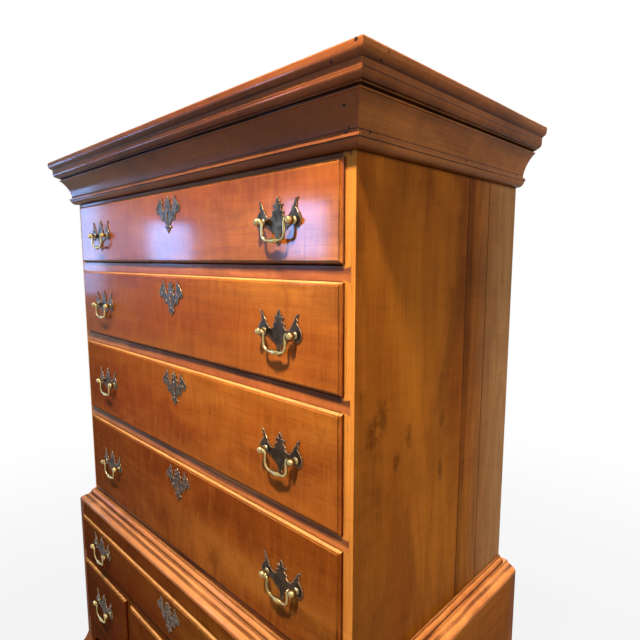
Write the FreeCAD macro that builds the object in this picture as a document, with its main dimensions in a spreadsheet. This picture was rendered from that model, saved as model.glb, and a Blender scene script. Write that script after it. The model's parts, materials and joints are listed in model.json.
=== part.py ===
import FreeCAD, Part

import math
import os

import Sketcher

# Flat-top highboy: an upper case of four graduated drawers stands on a lower case with one long drawer
# over three small ones, raised on four cabriole legs. Millimetres; +Z is up and the front faces -Y.
# The origin is on the floor, under the middle of the lower case.

Vector = FreeCAD.Vector
document = FreeCAD.newDocument("Highboy")
sheet = document.addObject("Spreadsheet::Sheet", "sizes")

SIZES = {
    # the two cases
    "upper_width": 914,
    "upper_depth": 470,
    "step_out": 32,  # the lower case stands out this far at the front and at each side
    "step_back": 15,  # and this far at the back
    "board_thick": 22,
    "back_thick": 12,
    "housing": 8,  # how far a board is let into the one it meets
    "shrink_gap": 0.4,  # what dry weather opens between two boards
    # the upper case, from the top down
    "frieze_height": 111,
    "opening_one": 136,
    "opening_two": 155,
    "opening_three": 176,
    "opening_four": 197,
    "upper_base_height": 44,
    "rail_height": 22,
    "rail_depth": 60,
    "rail_joint": 15,  # length of the dovetail on each end of a rail
    "runner_width": 40,
    "side_seam": 362,  # the front board of each side is this wide
    "back_seam_gap": 1,
    # the lower case
    "lower_rail_top": 34,
    "opening_five": 101,
    "lower_rail_mid": 23,
    "opening_six": 172,
    "floor_to_apron": 613,
    "centre_opening": 376,
    "partition_width": 32,
    "post_size": 33,
    "tenon": 10,
    "guide_height": 30,
    "runner_lap": 25,
    "apron_drop": 62,
    "skirt_drop": 50,
    # the legs
    "knee_proud": 27,
    "ankle_size": 26,
    "pad_diameter": 76,
    "pad_height": 26,
    # the mouldings
    "crown_height": 103.5,
    "crown_proud": 52,
    "waist_height": 19,
    "strip_height": 13,
    "strip_proud": 10,
    # the drawers
    "lip_proud": 6.5,
    "lip_seat": 0.3,
    "lip_over": 4,
    "lip_over_top": 1,
    "thumb_radius": 4.5,
    "quirk": 1,
    "tongue_thick": 15,
    "side_clear": 1.5,
    "top_clear": 3,
    "bottom_clear": 2,
    "slide_clear": 0.3,
    "end_gap": 26,  # behind the drawers of the upper case
    "lower_end_gap": 35,  # and behind those of the lower case
    "drawer_side": 11,
    "drawer_back": 10,
    "drawer_bottom": 8,
    "bottom_rise": 9,
    "groove": 4,
    "tail_length": 10,
    # the brasses
    "pull_inset": 141,  # from the side of the case to the middle of a pull
    "lower_pull_inset": 158,
    "pull_raise_first": -5,  # how far the pulls sit above the middle of the drawer
    "pull_raise_lower": 8,
    "escutcheon_drop": 10,
    "boring": 70,
    "plate_width": 100,
    "plate_rise": 36.5,
    "plate_fall": 32,
    "plate_thick": 1.4,
    "shank_size": 4.4,
    "shank_clear": 0.3,
    "pivot_stand": 11,  # from the drawer face to the axis of the bail
    "head_size": 11.6,
    "head_bevel": 2.6,
    "neck_size": 6.4,
    "collar_size": 11,
    "collar_thick": 1.6,
    "bail_width": 39,  # between the middles of the two arms
    "bail_drop": 28,
    "bail_bend": 11,
    "bail_stock": 4.6,
    "bead_size": 8.2,
    "bead_length": 3,
    "grip_size": 6.6,
    "grip_length": 15,
    "grip_bevel": 0.9,
    "peg_size": 3,
    "peg_clear": 0.08,
    "peg_reach": 3.2,
    "key_width": 2.6,
    "key_round": 3.6,
    "key_drop": 7.2,
    "pierce_size": 3.6,
}


class Size:
    """A length: its number now, and the formula of sheet cells that gives it."""

    def __init__(self, number, text):
        self.number = number
        self.text = text

    def __add__(self, other):
        other = size_of(other)
        return Size(self.number + other.number, f"({self.text} + {other.text})")

    def __sub__(self, other):
        other = size_of(other)
        return Size(self.number - other.number, f"({self.text} - {other.text})")

    def __mul__(self, other):
        other = size_of(other)
        return Size(self.number * other.number, f"({self.text} * {other.text})")

    def __truediv__(self, other):
        other = size_of(other)
        return Size(self.number / other.number, f"({self.text} / {other.text})")

    def __rsub__(self, other):
        return size_of(other) - self

    def __neg__(self):
        return Size(-self.number, f"(0 - {self.text})")

    __radd__ = __add__
    __rmul__ = __mul__


def size_of(value):
    return value if isinstance(value, Size) else Size(float(value), repr(float(value)))


def length_of(across, along):
    """The straight distance that two offsets at right angles make."""
    across = size_of(across)
    along = size_of(along)
    number = math.hypot(across.number, along.number)
    return Size(number, f"sqrt({across.text} * {across.text} + {along.text} * {along.text})")


class Sizes:
    pass


s = Sizes()
for row, (name, value) in enumerate(SIZES.items(), start=1):
    sheet.set(f"A{row}", name)
    sheet.set(f"B{row}", str(value))
    sheet.setAlias(f"B{row}", name)
    setattr(s, name, Size(float(value), f"sizes.{name}"))
document.recompute()


# ---- small helpers: each makes one object whose sizes are formulas of the sheet ----


def bind(item, **formulas):
    for name, value in formulas.items():
        item.setExpression(name, size_of(value).text)


def place(item, x=0, y=0, z=0, turn=0):
    """Put an object at x, y, z, turned about the vertical by turn degrees."""
    item.Placement = FreeCAD.Placement(Vector(), FreeCAD.Rotation(Vector(0, 0, 1), turn))
    for axis, value in zip("xyz", (x, y, z)):
        item.setExpression(f".Placement.Base.{axis}", size_of(value).text)
    return item


def board(name, low, high):
    """A squared board between its low and high corners, each given as x, y, z."""
    item = document.addObject("Part::Box", name)
    spans = [size_of(b) - size_of(a) for a, b in zip(low, high)]
    bind(item, Length=spans[0], Width=spans[1], Height=spans[2])
    return place(item, *low)


def group(name, pieces):
    item = document.addObject("Part::Compound", name)
    item.Links = pieces
    return item


def let_in(name, base, pieces):
    """The base with a recess where each of the pieces runs into it."""
    item = document.addObject("Part::Cut", name)
    item.Base = base
    item.Tool = group(name + "_recesses", pieces)
    return item


def mirror(name, source, normal):
    item = document.addObject("Part::Mirroring", name)
    item.Source = source
    item.Normal = Vector(*normal)
    return item


def copy_at(name, source, x=0, y=0, z=0):
    item = document.addObject("App::Link", name)
    item.LinkedObject = source
    item.LinkTransform = False
    for axis, value in zip("xyz", (x, y, z)):
        item.setExpression(f".LinkPlacement.Base.{axis}", size_of(value).text)
    return item


def new_body(name):
    return document.addObject("PartDesign::Body", name)


def new_sketch(body, plane, offset=0, shift=(0, 0)):
    """A sketch on one of the body's own planes, moved out by offset and along it by shift."""
    item = body.newObject("Sketcher::SketchObject", f"{body.Name}_sketch")
    role = f"{plane}_Plane"
    support = next(f for f in body.Origin.OriginFeatures if f.Role == role)
    item.AttachmentSupport = [(support, "")]
    item.MapMode = "FlatFace"
    for axis, value in zip("xyz", (*shift, offset)):
        item.setExpression(f".AttachmentOffset.Base.{axis}", size_of(value).text)
    return item


def fix_point(item, edge, end, x, y):
    for kind, value in (("DistanceX", x), ("DistanceY", y)):
        value = size_of(value)
        index = item.addConstraint(Sketcher.Constraint(kind, edge, end, value.number))
        item.setExpression(f"Constraints[{index}]", value.text)


def draw_line(item, start, end):
    return item.addGeometry(Part.LineSegment(Vector(*start, 0), Vector(*end, 0)), False)


def draw_arc(item, start, end, bulge):
    """An arc whose rise is bulge times its chord; it turns left for a positive bulge."""
    chord = Vector(end[0] - start[0], end[1] - start[1], 0)
    out = Vector(chord.y, -chord.x, 0) * bulge
    middle = Vector(*start, 0) + chord * 0.5 + out
    return item.addGeometry(Part.Arc(Vector(*start, 0), middle, Vector(*end, 0)), False)


def trace(item, points, closed=True):
    """Draw an outline through (x, y) or (x, y, bulge) points, each edge fixed to the sheet."""
    corners = [(size_of(p[0]), size_of(p[1]), p[2] if len(p) > 2 else 0) for p in points]
    count = len(corners) if closed else len(corners) - 1
    edges = []
    for index in range(count):
        x, y, bulge = corners[index]
        far_x, far_y, _ = corners[(index + 1) % len(corners)]
        start = (x.number, y.number)
        end = (far_x.number, far_y.number)
        edge = draw_arc(item, start, end, bulge) if bulge else draw_line(item, start, end)
        begins = 2 if bulge < 0 else 1
        edges.append((edge, begins, 3 - begins))
        fix_point(item, edge, begins, x, y)
        if bulge:
            radius = length_of(far_x - x, far_y - y) * ((1 + 4 * bulge**2) / (8 * abs(bulge)))
            rule = item.addConstraint(Sketcher.Constraint("Radius", edge, radius.number))
            item.setExpression(f"Constraints[{rule}]", radius.text)
    for index in range(count if closed else count - 1):
        edge, _, ends = edges[index]
        following, begins, _ = edges[(index + 1) % count]
        item.addConstraint(Sketcher.Constraint("Coincident", edge, ends, following, begins))
    if not closed:
        edge, _, ends = edges[-1]
        fix_point(item, edge, ends, corners[-1][0], corners[-1][1])
    return item


def rectangle(low, high):
    return [low, (high[0], low[1]), high, (low[0], high[1])]


def on_side(hand, near, far):
    """What lies between near and far of the middle, on the right for hand 1 or the left for hand -1."""
    near = size_of(near)
    far = size_of(far)
    return (near, far) if hand > 0 else (-far, -near)


def with_mirror(half):
    """A right-hand half outline followed by its mirror image, back to the first point.

    A half that begins on the middle line shares that point with its image.
    """
    image = []
    for index in range(len(half) - 1, -1, -1):
        x, y = half[index][:2]
        bulge = half[index - 1][2] if index and len(half[index - 1]) > 2 else 0
        if size_of(x).number:
            image.append((-size_of(x), y, bulge))
        elif index:
            image.append((x, y, bulge))
    last = half[-1]
    if not size_of(last[0]).number:
        return list(half[:-1]) + image
    return list(half) + image


def pad(body, outline, length, back=False):
    item = body.newObject("PartDesign::Pad", f"{body.Name}_pad")
    item.Profile = outline
    item.Reversed = back
    bind(item, Length=length)
    return item


def pocket(body, outline, both_ways=True):
    """Cut the outline right through the body."""
    item = body.newObject("PartDesign::Pocket", f"{body.Name}_pocket")
    item.Profile = outline
    item.Type = "ThroughAll"
    item.Midplane = both_ways
    return item


def loft(body, sections):
    """Straight-sided steps through a row of outlines."""
    item = body.newObject("PartDesign::AdditiveLoft", f"{body.Name}_loft")
    item.Profile = sections[0]
    item.Sections = sections[1:]
    item.Ruled = True
    return item


def polygon(body, plane, radius, offset=0, shift=(0, 0), corners=8):
    """A regular outline round a circle of this radius, with a corner at each end of its top side."""
    item = new_sketch(body, plane, offset=offset, shift=shift)
    reach = size_of(radius) / math.cos(math.pi / corners)
    turns = [2 * math.pi * (number + 0.5) / corners + math.pi / 2 for number in range(corners)]
    return trace(item, [(reach * math.cos(turn), reach * math.sin(turn)) for turn in turns])


def circle(body, plane, radius, offset=0, shift=(0, 0)):
    item = new_sketch(body, plane, offset=offset, shift=shift)
    radius = size_of(radius)
    edge = item.addGeometry(Part.Circle(Vector(), Vector(0, 0, 1), radius.number), False)
    item.addConstraint(Sketcher.Constraint("Coincident", edge, 3, -1, 1))
    rule = item.addConstraint(Sketcher.Constraint("Radius", edge, radius.number))
    item.setExpression(f"Constraints[{rule}]", radius.text)
    return item


def bevelled_prism(body, outline, radius, length, bevel):
    """A short prism on an outline round a circle of this radius, with the edges of both ends cut back."""
    prism = pad(body, outline, length)
    document.recompute()
    forward = outline.Placement.Rotation.multVec(Vector(0, 0, 1))
    rims = []
    for number, edge in enumerate(prism.Shape.Edges, start=1):
        reach = edge.CenterOfMass - outline.Placement.Base
        along = reach.dot(forward)
        out = (reach - forward * along).Length
        at_end = min(abs(along), abs(along - length.number)) < 0.01
        if at_end and abs(out - radius.number) < 0.01:
            rims.append(f"Edge{number}")
    cut_back = body.newObject("PartDesign::Chamfer", f"{body.Name}_bevel")
    cut_back.Base = (prism, rims)
    bind(cut_back, Size=bevel)


# ---- places that several pieces share ----

lower_width = s.upper_width + s.step_out * 2
lower_depth = s.step_out + s.upper_depth + s.step_back
lower_side = lower_width / 2  # outer face of the lower case, from the middle
lower_front = -lower_depth / 2
lower_back = lower_depth / 2
upper_side = s.upper_width / 2
upper_front = lower_front + s.step_out
upper_back = lower_back - s.step_back
upper_inside = upper_side - s.board_thick
post_inside = lower_side - s.post_size
panel_inside = lower_side - s.board_thick
partition_near = s.centre_opening / 2
partition_far = partition_near + s.partition_width

apron_top = s.floor_to_apron
mid_rail_low = apron_top + s.opening_six
mid_rail_top = mid_rail_low + s.lower_rail_mid
top_rail_low = mid_rail_top + s.opening_five
lower_top = top_rail_low + s.lower_rail_top

floor_four = lower_top + s.upper_base_height
floor_three = floor_four + s.opening_four + s.rail_height
floor_two = floor_three + s.opening_three + s.rail_height
floor_one = floor_two + s.opening_two + s.rail_height
frieze_low = floor_one + s.opening_one
upper_top = frieze_low + s.frieze_height


# ---- the upper case ----


def dovetailed_rail(name, low, height, depth):
    """A rail across the front, with a sliding dovetail let into the side at each end."""
    end = upper_inside + s.rail_joint
    neck = height / 6
    right_half = [
        (upper_inside, 0),
        (upper_inside, neck),
        (end, 0),
        (end, height),
        (upper_inside, height - neck),
        (upper_inside, height),
    ]
    body = new_body(name)
    outline = new_sketch(body, "XZ")
    trace(outline, right_half + [(-x, y) for x, y in reversed(right_half)])
    pad(body, outline, depth, back=True)
    return place(body, 0, upper_front, low)


def upper_case():
    rails = [
        dovetailed_rail(f"rail_{number}", low - s.rail_height, s.rail_height, s.rail_depth)
        for number, low in enumerate((floor_one, floor_two, floor_three), start=1)
    ]
    frieze_height = s.frieze_height - s.board_thick
    rails.append(dovetailed_rail("frieze", frieze_low, frieze_height, s.board_thick))
    rails.append(dovetailed_rail("base_rail", lower_top, s.upper_base_height, s.board_thick))
    back_low = upper_back - s.back_thick
    let_end = upper_inside + s.housing
    top = board(
        "upper_top_board",
        (-let_end, upper_front, upper_top - s.board_thick),
        (let_end, back_low, upper_top),
    )
    bottom = board(
        "upper_bottom_board",
        (-let_end, upper_front + s.board_thick, floor_four - s.board_thick),
        (let_end, back_low, floor_four),
    )
    backs = []
    share = (upper_top - lower_top) / 3
    for number in range(3):
        low = lower_top + share * number
        backs.append(
            board(
                f"back_board_{number + 1}",
                (-let_end, back_low, low),
                (let_end, upper_back, low + share - s.back_seam_gap),
            )
        )
    backs = group("upper_back_boards", backs)
    rails = group("upper_rails", rails)
    sides = []
    for name, hand in (("left", -1), ("right", 1)):
        faces = on_side(hand, upper_inside, upper_side)
        seam = upper_front + s.side_seam
        front_board = board(
            f"side_front_{name}", (faces[0], upper_front, lower_top), (faces[1], seam, upper_top)
        )
        rear_board = board(
            f"side_rear_{name}",
            (faces[0], seam + s.shrink_gap, lower_top),
            (faces[1], upper_back, upper_top),
        )
        pair = group(f"side_boards_{name}", [front_board, rear_board])
        sides.append(let_in(f"upper_side_{name}", pair, [rails, top, bottom, backs]))
    runners = []
    for level, top_face in enumerate((floor_one, floor_two, floor_three, frieze_low + s.rail_height)):
        start = upper_front + (s.board_thick if level == 3 else s.rail_depth)
        for name, hand in (("left", -1), ("right", 1)):
            ends = on_side(hand, upper_inside - s.runner_width, upper_inside)
            runners.append(
                board(
                    f"upper_runner_{level + 1}_{name}",
                    (ends[0], start, top_face - s.rail_height),
                    (ends[1], back_low, top_face),
                )
            )
    return sides + [top, bottom, backs, rails, group("upper_runners", runners)]


# ---- mouldings ----

# Each outline gives (share of the reach, share of the height, bulge), from the foot at the case up.
CROWN = [
    (0, 0),
    (0.05, 0, 0.18),
    (0.3, 0.1),
    (0.33, 0.115),
    (0.33, 0.15),
    (0.25, 0.165),
    (0.24, 0.205, -0.075),
    (0.6, 0.555),
    (0.64, 0.565),
    (0.64, 0.58),
    (0.58, 0.59),
    (0.58, 0.61),
    (0.68, 0.62),
    (0.68, 0.635, 0.16),
    (0.85, 0.715),
    (0.85, 0.815),
    (0.88, 0.835, 0.14),
    (1, 0.915),
    (1, 0.98),
    (0.97, 1),
    (0, 1),
]
WAIST = [
    (0, 0),
    (1, 0, 0.16),
    (0.69, 0.57),
    (0.66, 0.62),
    (0.62, 0.68, -0.16),
    (0.41, 0.96),
    (0.4, 1),
    (0, 1),
]
STRIP = [(0, 0), (1, 0), (1, 0.15, 0.16), (0.35, 0.8), (0.35, 1), (0, 1)]


def moulding(name, shares, reach, height, run, mitres):
    """A moulding along +X with its back at y = 0; mitres says which ends are cut at 45 degrees."""
    body = new_body(name)
    start = -reach if mitres[0] else size_of(0)
    finish = run + reach if mitres[1] else run
    outline = new_sketch(body, "YZ", offset=start)
    points = [(-(reach * p[0]), height * p[1], *(-b for b in p[2:])) for p in shares]
    trace(outline, points)
    pad(body, outline, finish - start)
    for wanted, at, hand in ((mitres[0], size_of(0), -1), (mitres[1], run, 1)):
        if wanted:
            waste = new_sketch(body, "XY")
            tip = at + reach * hand
            trace(waste, [(at, 0), (tip, 0), (tip, -reach)])
            pocket(body, waste)
    return body


def three_sides(name, shares, reach, height, low, back):
    """A moulding round the front and both sides of the upper case, mitred at the front corners."""
    run_back = back - upper_front
    front = moulding(f"{name}_front", shares, reach, height, s.upper_width, (True, True))
    right = moulding(f"{name}_right", shares, reach, height, run_back, (True, False))
    left = moulding(f"{name}_left", shares, reach, height, run_back, (False, True))
    place(front, -upper_side, upper_front, low)
    place(right, upper_side, upper_front, low, turn=90)
    place(left, -upper_side, back, low, turn=-90)
    return [front, left, right]


def mouldings():
    crown_low = upper_top - s.crown_height
    cornice = three_sides("cornice", CROWN, s.crown_proud, s.crown_height, crown_low, upper_back)
    waist = three_sides("waist", WAIST, s.step_out, s.waist_height, lower_top, lower_back)
    strip_low = lower_top + s.waist_height + s.shrink_gap
    strip = three_sides("strip", STRIP, s.strip_proud, s.strip_height, strip_low, upper_back)
    return cornice + [group("waist_moulding", waist), group("base_strip", strip)]


# ---- the lower case ----


def leg_section(body, height, out, inward, round_off):
    """A square across the leg, reaching out towards -X and -Y, with its corners cut off by round_off."""
    item = new_sketch(body, "XY", offset=height)
    points = []
    for (x, y), (ahead_x, ahead_y), (back_x, back_y) in (
        ((-out, -out), (1, 0), (0, 1)),
        ((inward, -out), (0, 1), (-1, 0)),
        ((inward, inward), (-1, 0), (0, -1)),
        ((-out, inward), (0, -1), (1, 0)),
    ):
        points.append((x + round_off * back_x, y + round_off * back_y))
        points.append((x + round_off * ahead_x, y + round_off * ahead_y))
    return trace(item, points)


def cabriole_leg(name):
    """A post with a cabriole leg and pad foot below it, cut from one timber."""
    body = new_body(name)
    half = s.post_size / 2
    ankle = s.ankle_size / 2
    post_low = s.floor_to_apron - s.apron_drop
    post = new_sketch(body, "XY", offset=post_low)
    trace(post, rectangle((-half, -half), (half, half)))
    pad(body, post, lower_top - post_low)
    knee = half + s.knee_proud
    # share of the height below the post, reach out, reach in, corner cut off
    sections = [
        (1, half, half, half / 10),
        (0.96, half * 1.55, half, half * 0.25),
        (0.9, knee * 0.98, half * 0.93, half * 0.45),
        (0.81, knee * 0.96, half * 0.68, half * 0.6),
        (0.66, knee * 0.7, half * 0.52, half * 0.55),
        (0.47, ankle * 1.3, ankle * 0.75, ankle * 0.55),
        (0.28, ankle * 0.88, ankle * 0.98, ankle * 0.55),
        (0.13, ankle * 0.87, ankle * 1.15, ankle * 0.6),
        (0.055, ankle * 1.4, ankle * 1.25, ankle * 0.8),
    ]
    loft(body, [leg_section(body, post_low * share, *rest) for share, *rest in sections])
    foot = new_sketch(body, "XZ", offset=ankle * 0.15, shift=(-(ankle * 0.15), 0))
    wide = s.pad_diameter / 2
    tall = s.pad_height
    trace(
        foot,
        [(0, 0), (wide * 0.8, 0), (wide, tall * 0.45), (wide * 0.5, tall * 1.3), (0, tall * 1.3)],
    )
    turned = body.newObject("PartDesign::Revolution", f"{name}_pad_foot")
    turned.Profile = foot
    turned.ReferenceAxis = (foot, ["V_Axis"])
    turned.Angle = 360
    place(body, -(lower_side - half), lower_front + half, 0)
    return body


def shaped_skirt(name, half_length, top, drop, arch, thick):
    """A board with a sawn lower edge: low at the ends, rising to a flat arch between them."""
    step = drop - arch
    half = [
        (half_length, 0),
        (half_length, -drop),
        (half_length - 26, -drop, 0.18),
        (half_length - 26 - step, -drop + step / 2, -0.18),
        (half_length - 26 - step * 2, -arch),
    ]
    body = new_body(name)
    outline = new_sketch(body, "XZ")
    trace(outline, with_mirror(half))
    pad(body, outline, thick, back=True)
    return place(body, 0, 0, top)


def lower_case():
    front_left = cabriole_leg("leg_blank_front_left")
    front_right = mirror("leg_blank_front_right", front_left, (1, 0, 0))
    rear_left = mirror("leg_blank_rear_left", front_left, (0, 1, 0))
    rear_right = mirror("leg_blank_rear_right", front_right, (0, 1, 0))
    end = post_inside + s.tenon
    rail_back = lower_front + s.rail_depth
    panel_back = lower_back - s.back_thick
    side_half = lower_depth / 2 - s.post_size + s.tenon
    side_height = lower_top - apron_top

    panels = []
    for name, turn, x in (("right", 90, lower_side), ("left", -90, -lower_side)):
        skirt = shaped_skirt(
            f"side_blank_{name}", side_half, 0, s.skirt_drop, s.skirt_drop / 2, s.board_thick
        )
        upright = new_sketch(skirt, "XZ")
        trace(upright, rectangle((-side_half, 0), (side_half, side_height)))
        pad(skirt, upright, s.board_thick, back=True)
        panels.append(place(skirt, x, 0, apron_top, turn=turn))
    back = board(
        "lower_back_board",
        (-end, panel_back, apron_top - s.skirt_drop / 2),
        (end, lower_back, lower_top),
    )
    apron = shaped_skirt("front_apron", end, apron_top, s.apron_drop, s.apron_drop / 2, s.board_thick)
    place(apron, 0, lower_front, apron_top)
    top_rail = board(
        "lower_top_rail", (-end, lower_front, top_rail_low), (end, rail_back, lower_top)
    )
    mid_rail = board(
        "lower_mid_rail", (-end, lower_front, mid_rail_low), (end, rail_back, mid_rail_top)
    )
    partitions = []
    for name, hand in (("left", -1), ("right", 1)):
        faces = on_side(hand, partition_near, partition_far)
        partitions.append(
            board(
                f"partition_{name}",
                (faces[0], lower_front, apron_top),
                (faces[1], rail_back, mid_rail_low),
            )
        )
    rails = group("lower_rails", [top_rail, mid_rail] + partitions)
    blanks = {
        "front_left": front_left,
        "front_right": front_right,
        "rear_left": rear_left,
        "rear_right": rear_right,
    }
    legs = [
        let_in(f"leg_{corner}", blank, panels + [back, apron, rails])
        for corner, blank in blanks.items()
    ]
    sides = [
        let_in(f"lower_side_{name}", panel, [back, apron, rails])
        for name, panel in zip(("right", "left"), panels)
    ]
    runners = let_in("lower_runners", lower_runner_boards(rail_back, panel_back), list(blanks.values()))
    blocks = let_in("knee_blocks", knee_block_boards(), list(blanks.values()))
    return legs + sides + [back, apron, rails, runners, blocks]


def l_runner(name, hand, top_face, start, finish):
    """A runner with a guide: the drawer's side slides on the low part, against the high one."""
    body = new_body(name)
    outline = new_sketch(body, "XZ")
    inner = post_inside - s.runner_lap
    points = [
        (inner, -s.rail_height),
        (panel_inside, -s.rail_height),
        (panel_inside, s.guide_height),
        (post_inside, s.guide_height),
        (post_inside, 0),
        (inner, 0),
    ]
    trace(outline, [(size_of(x) * hand, y) for x, y in points])
    pad(body, outline, finish - start, back=True)
    return place(body, 0, start, top_face)


def lower_runner_boards(rail_back, panel_back):
    """Runners and guides of the four lower drawers, and the frame that the upper case stands on."""
    pieces = []
    apron_back = lower_front + s.board_thick
    near = partition_near
    far = partition_far
    for name, hand in (("left", -1), ("right", 1)):
        pieces.append(l_runner(f"long_runner_{name}", hand, mid_rail_top, rail_back, panel_back))
        pieces.append(l_runner(f"small_runner_{name}", hand, apron_top, apron_back, panel_back))
        middle = new_body(f"middle_runner_{name}")
        outline = new_sketch(middle, "XZ")
        points = [
            (near - s.runner_lap, -s.rail_height),
            (far + s.runner_lap, -s.rail_height),
            (far + s.runner_lap, 0),
            (far, 0),
            (far, s.guide_height),
            (near, s.guide_height),
            (near, 0),
            (near - s.runner_lap, 0),
        ]
        trace(outline, [(size_of(x) * hand, y) for x, y in points])
        pad(middle, outline, panel_back - apron_back, back=True)
        place(middle, 0, apron_back, apron_top)
        let = let_in(f"middle_runner_fitted_{name}", middle, [document.getObject(f"partition_{name}")])
        pieces.append(let)
        ends = on_side(hand, partition_near, partition_far)
        pieces.append(
            board(
                f"kicker_{name}",
                (ends[0], rail_back, mid_rail_low),
                (ends[1], panel_back, mid_rail_top),
            )
        )
        ends = on_side(hand, post_inside - s.runner_width, panel_inside)
        pieces.append(
            board(
                f"top_strip_{name}",
                (ends[0], rail_back, lower_top - s.rail_height),
                (ends[1], panel_back, lower_top),
            )
        )
    inner = post_inside - s.runner_width
    pieces.append(
        board(
            "top_strip_rear",
            (-inner, panel_back - s.rail_depth, lower_top - s.rail_height),
            (inner, panel_back, lower_top),
        )
    )
    return group("lower_runner_boards", pieces)


def knee_block_boards():
    """Sawn brackets that turn the lower edge into the knees: at the front, and at both ends of each side."""
    size = s.apron_drop * 0.62
    reach = s.post_size * 0.8
    blocks = []
    spots = [
        ("front", post_inside, s.floor_to_apron - s.apron_drop, lower_front, 0, 0),
        ("right", lower_depth / 2 - s.post_size, s.floor_to_apron - s.skirt_drop, 0, lower_side, 90),
        ("left", lower_depth / 2 - s.post_size, s.floor_to_apron - s.skirt_drop, 0, -lower_side, -90),
    ]
    for side, edge, low, y, x, turn in spots:
        for name, hand in (("one", -1), ("two", 1)):
            block = new_body(f"knee_block_{side}_{name}")
            outline = new_sketch(block, "XZ")
            points = [
                (edge * hand, 0),
                (edge * hand, -size),
                ((edge - reach * 0.4) * hand, -size * 0.55, 0.2 * hand),
                ((edge - reach) * hand, 0),
            ]
            trace(outline, points)
            pad(block, outline, s.board_thick, back=True)
            blocks.append(place(block, x, y, low, turn=turn))
    return group("knee_block_boards", blocks)


# ---- the brasses ----

# The right-hand half of the batwing outline, from the top point down to the bottom point: shares of the
# half width, and of the rise above or the fall below the line of the posts.
BATWING = [
    (0, 1),
    (0.085, 0.77),
    (0.05, 0.66),
    (0.25, 0.63),
    (0.13, 0.42),
    (0.31, 0.36),
    (0.27, 0.2),
    (0.37, 0.155),
    (0.54, 0.5),
    (0.61, 0.48),
    (0.7, 0.71),
    (0.84, 0.8),
    (0.76, 0.6),
    (0.79, 0.35),
    (0.97, 0.12),
    (1, -0.12),
    (0.91, -0.34),
    (0.74, -0.43),
    (0.61, -0.26),
    (0.41, -0.34),
    (0.2, -0.54),
    (0.06, -0.74),
    (0.1, -0.82),
    (0, -1),
]


def plate_blank(name):
    """A thin plate with the batwing outline, standing in front of y = 0."""
    half = []
    for across, up in BATWING:
        rise = s.plate_rise if up > 0 else s.plate_fall
        half.append((s.plate_width / 2 * across, rise * up))
    body = new_body(name)
    pad(body, trace(new_sketch(body, "XZ"), with_mirror(half)), s.plate_thick)
    return body


def cut_keyhole(body, across=0, up=0):
    """Cut a keyhole right through the body: a round head over a narrow slot."""
    wide = s.key_width / 2
    head = s.key_round / 2
    points = [
        (-wide, -s.key_drop),
        (wide, -s.key_drop),
        (wide, 0),
        (head, head),
        (wide, head * 2.2),
        (-wide, head * 2.2),
        (-head, head),
        (-wide, 0),
    ]
    pocket(body, trace(new_sketch(body, "XZ", shift=(across, up)), points))


def pull_plate():
    body = plate_blank("pull_plate")
    half = s.shank_size / 2
    for hand in (-1, 1):
        hole = new_sketch(body, "XZ")
        middle = s.boring / 2 * hand
        trace(hole, rectangle((middle - half, -half), (middle + half, half)))
        pocket(body, hole)
    return body


def escutcheon_plate():
    """The same plate with a keyhole, and a hole that pierces each wing and the top leaf."""
    body = plate_blank("escutcheon_plate")
    cut_keyhole(body)
    for across, up in ((-0.8, 0.05), (0.8, 0.05), (0, 0.45)):
        at = (s.plate_width / 2 * across, s.plate_rise * up)
        pocket(body, polygon(body, "XZ", s.pierce_size / 2, shift=at, corners=6))
    return body


def pull_post(name, hand):
    """A cast post: square shank through the drawer front, collar, neck, and a head bored for the bail.

    hand is 1 for the right-hand post, whose bore faces -X, and -1 for the left-hand one.
    """
    body = new_body(name)
    face = s.head_size / 2
    ball = polygon(body, "XZ", face, offset=s.pivot_stand - face)
    bevelled_prism(body, ball, face, s.head_size, s.head_bevel)
    neck = polygon(body, "XZ", s.neck_size / 2, offset=s.plate_thick, corners=6)
    pad(body, neck, s.pivot_stand - s.plate_thick)
    collar = polygon(body, "XZ", s.collar_size / 2, offset=s.plate_thick, corners=6)
    pad(body, collar, s.collar_thick)
    half = s.shank_size / 2
    shank = new_sketch(body, "XZ", offset=s.plate_thick)
    trace(shank, rectangle((-half, -half), (half, half)))
    pad(body, shank, s.plate_thick + s.lip_proud + s.tongue_thick, back=True)
    bore_radius = s.peg_size / 2 + s.peg_clear
    bore = polygon(body, "YZ", bore_radius, offset=-(face * hand), shift=(-s.pivot_stand, 0))
    cut = body.newObject("PartDesign::Pocket", f"{name}_bore")
    cut.Profile = bore
    cut.Reversed = hand > 0
    bind(cut, Length=s.peg_reach + s.peg_clear * 4)
    return body


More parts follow.
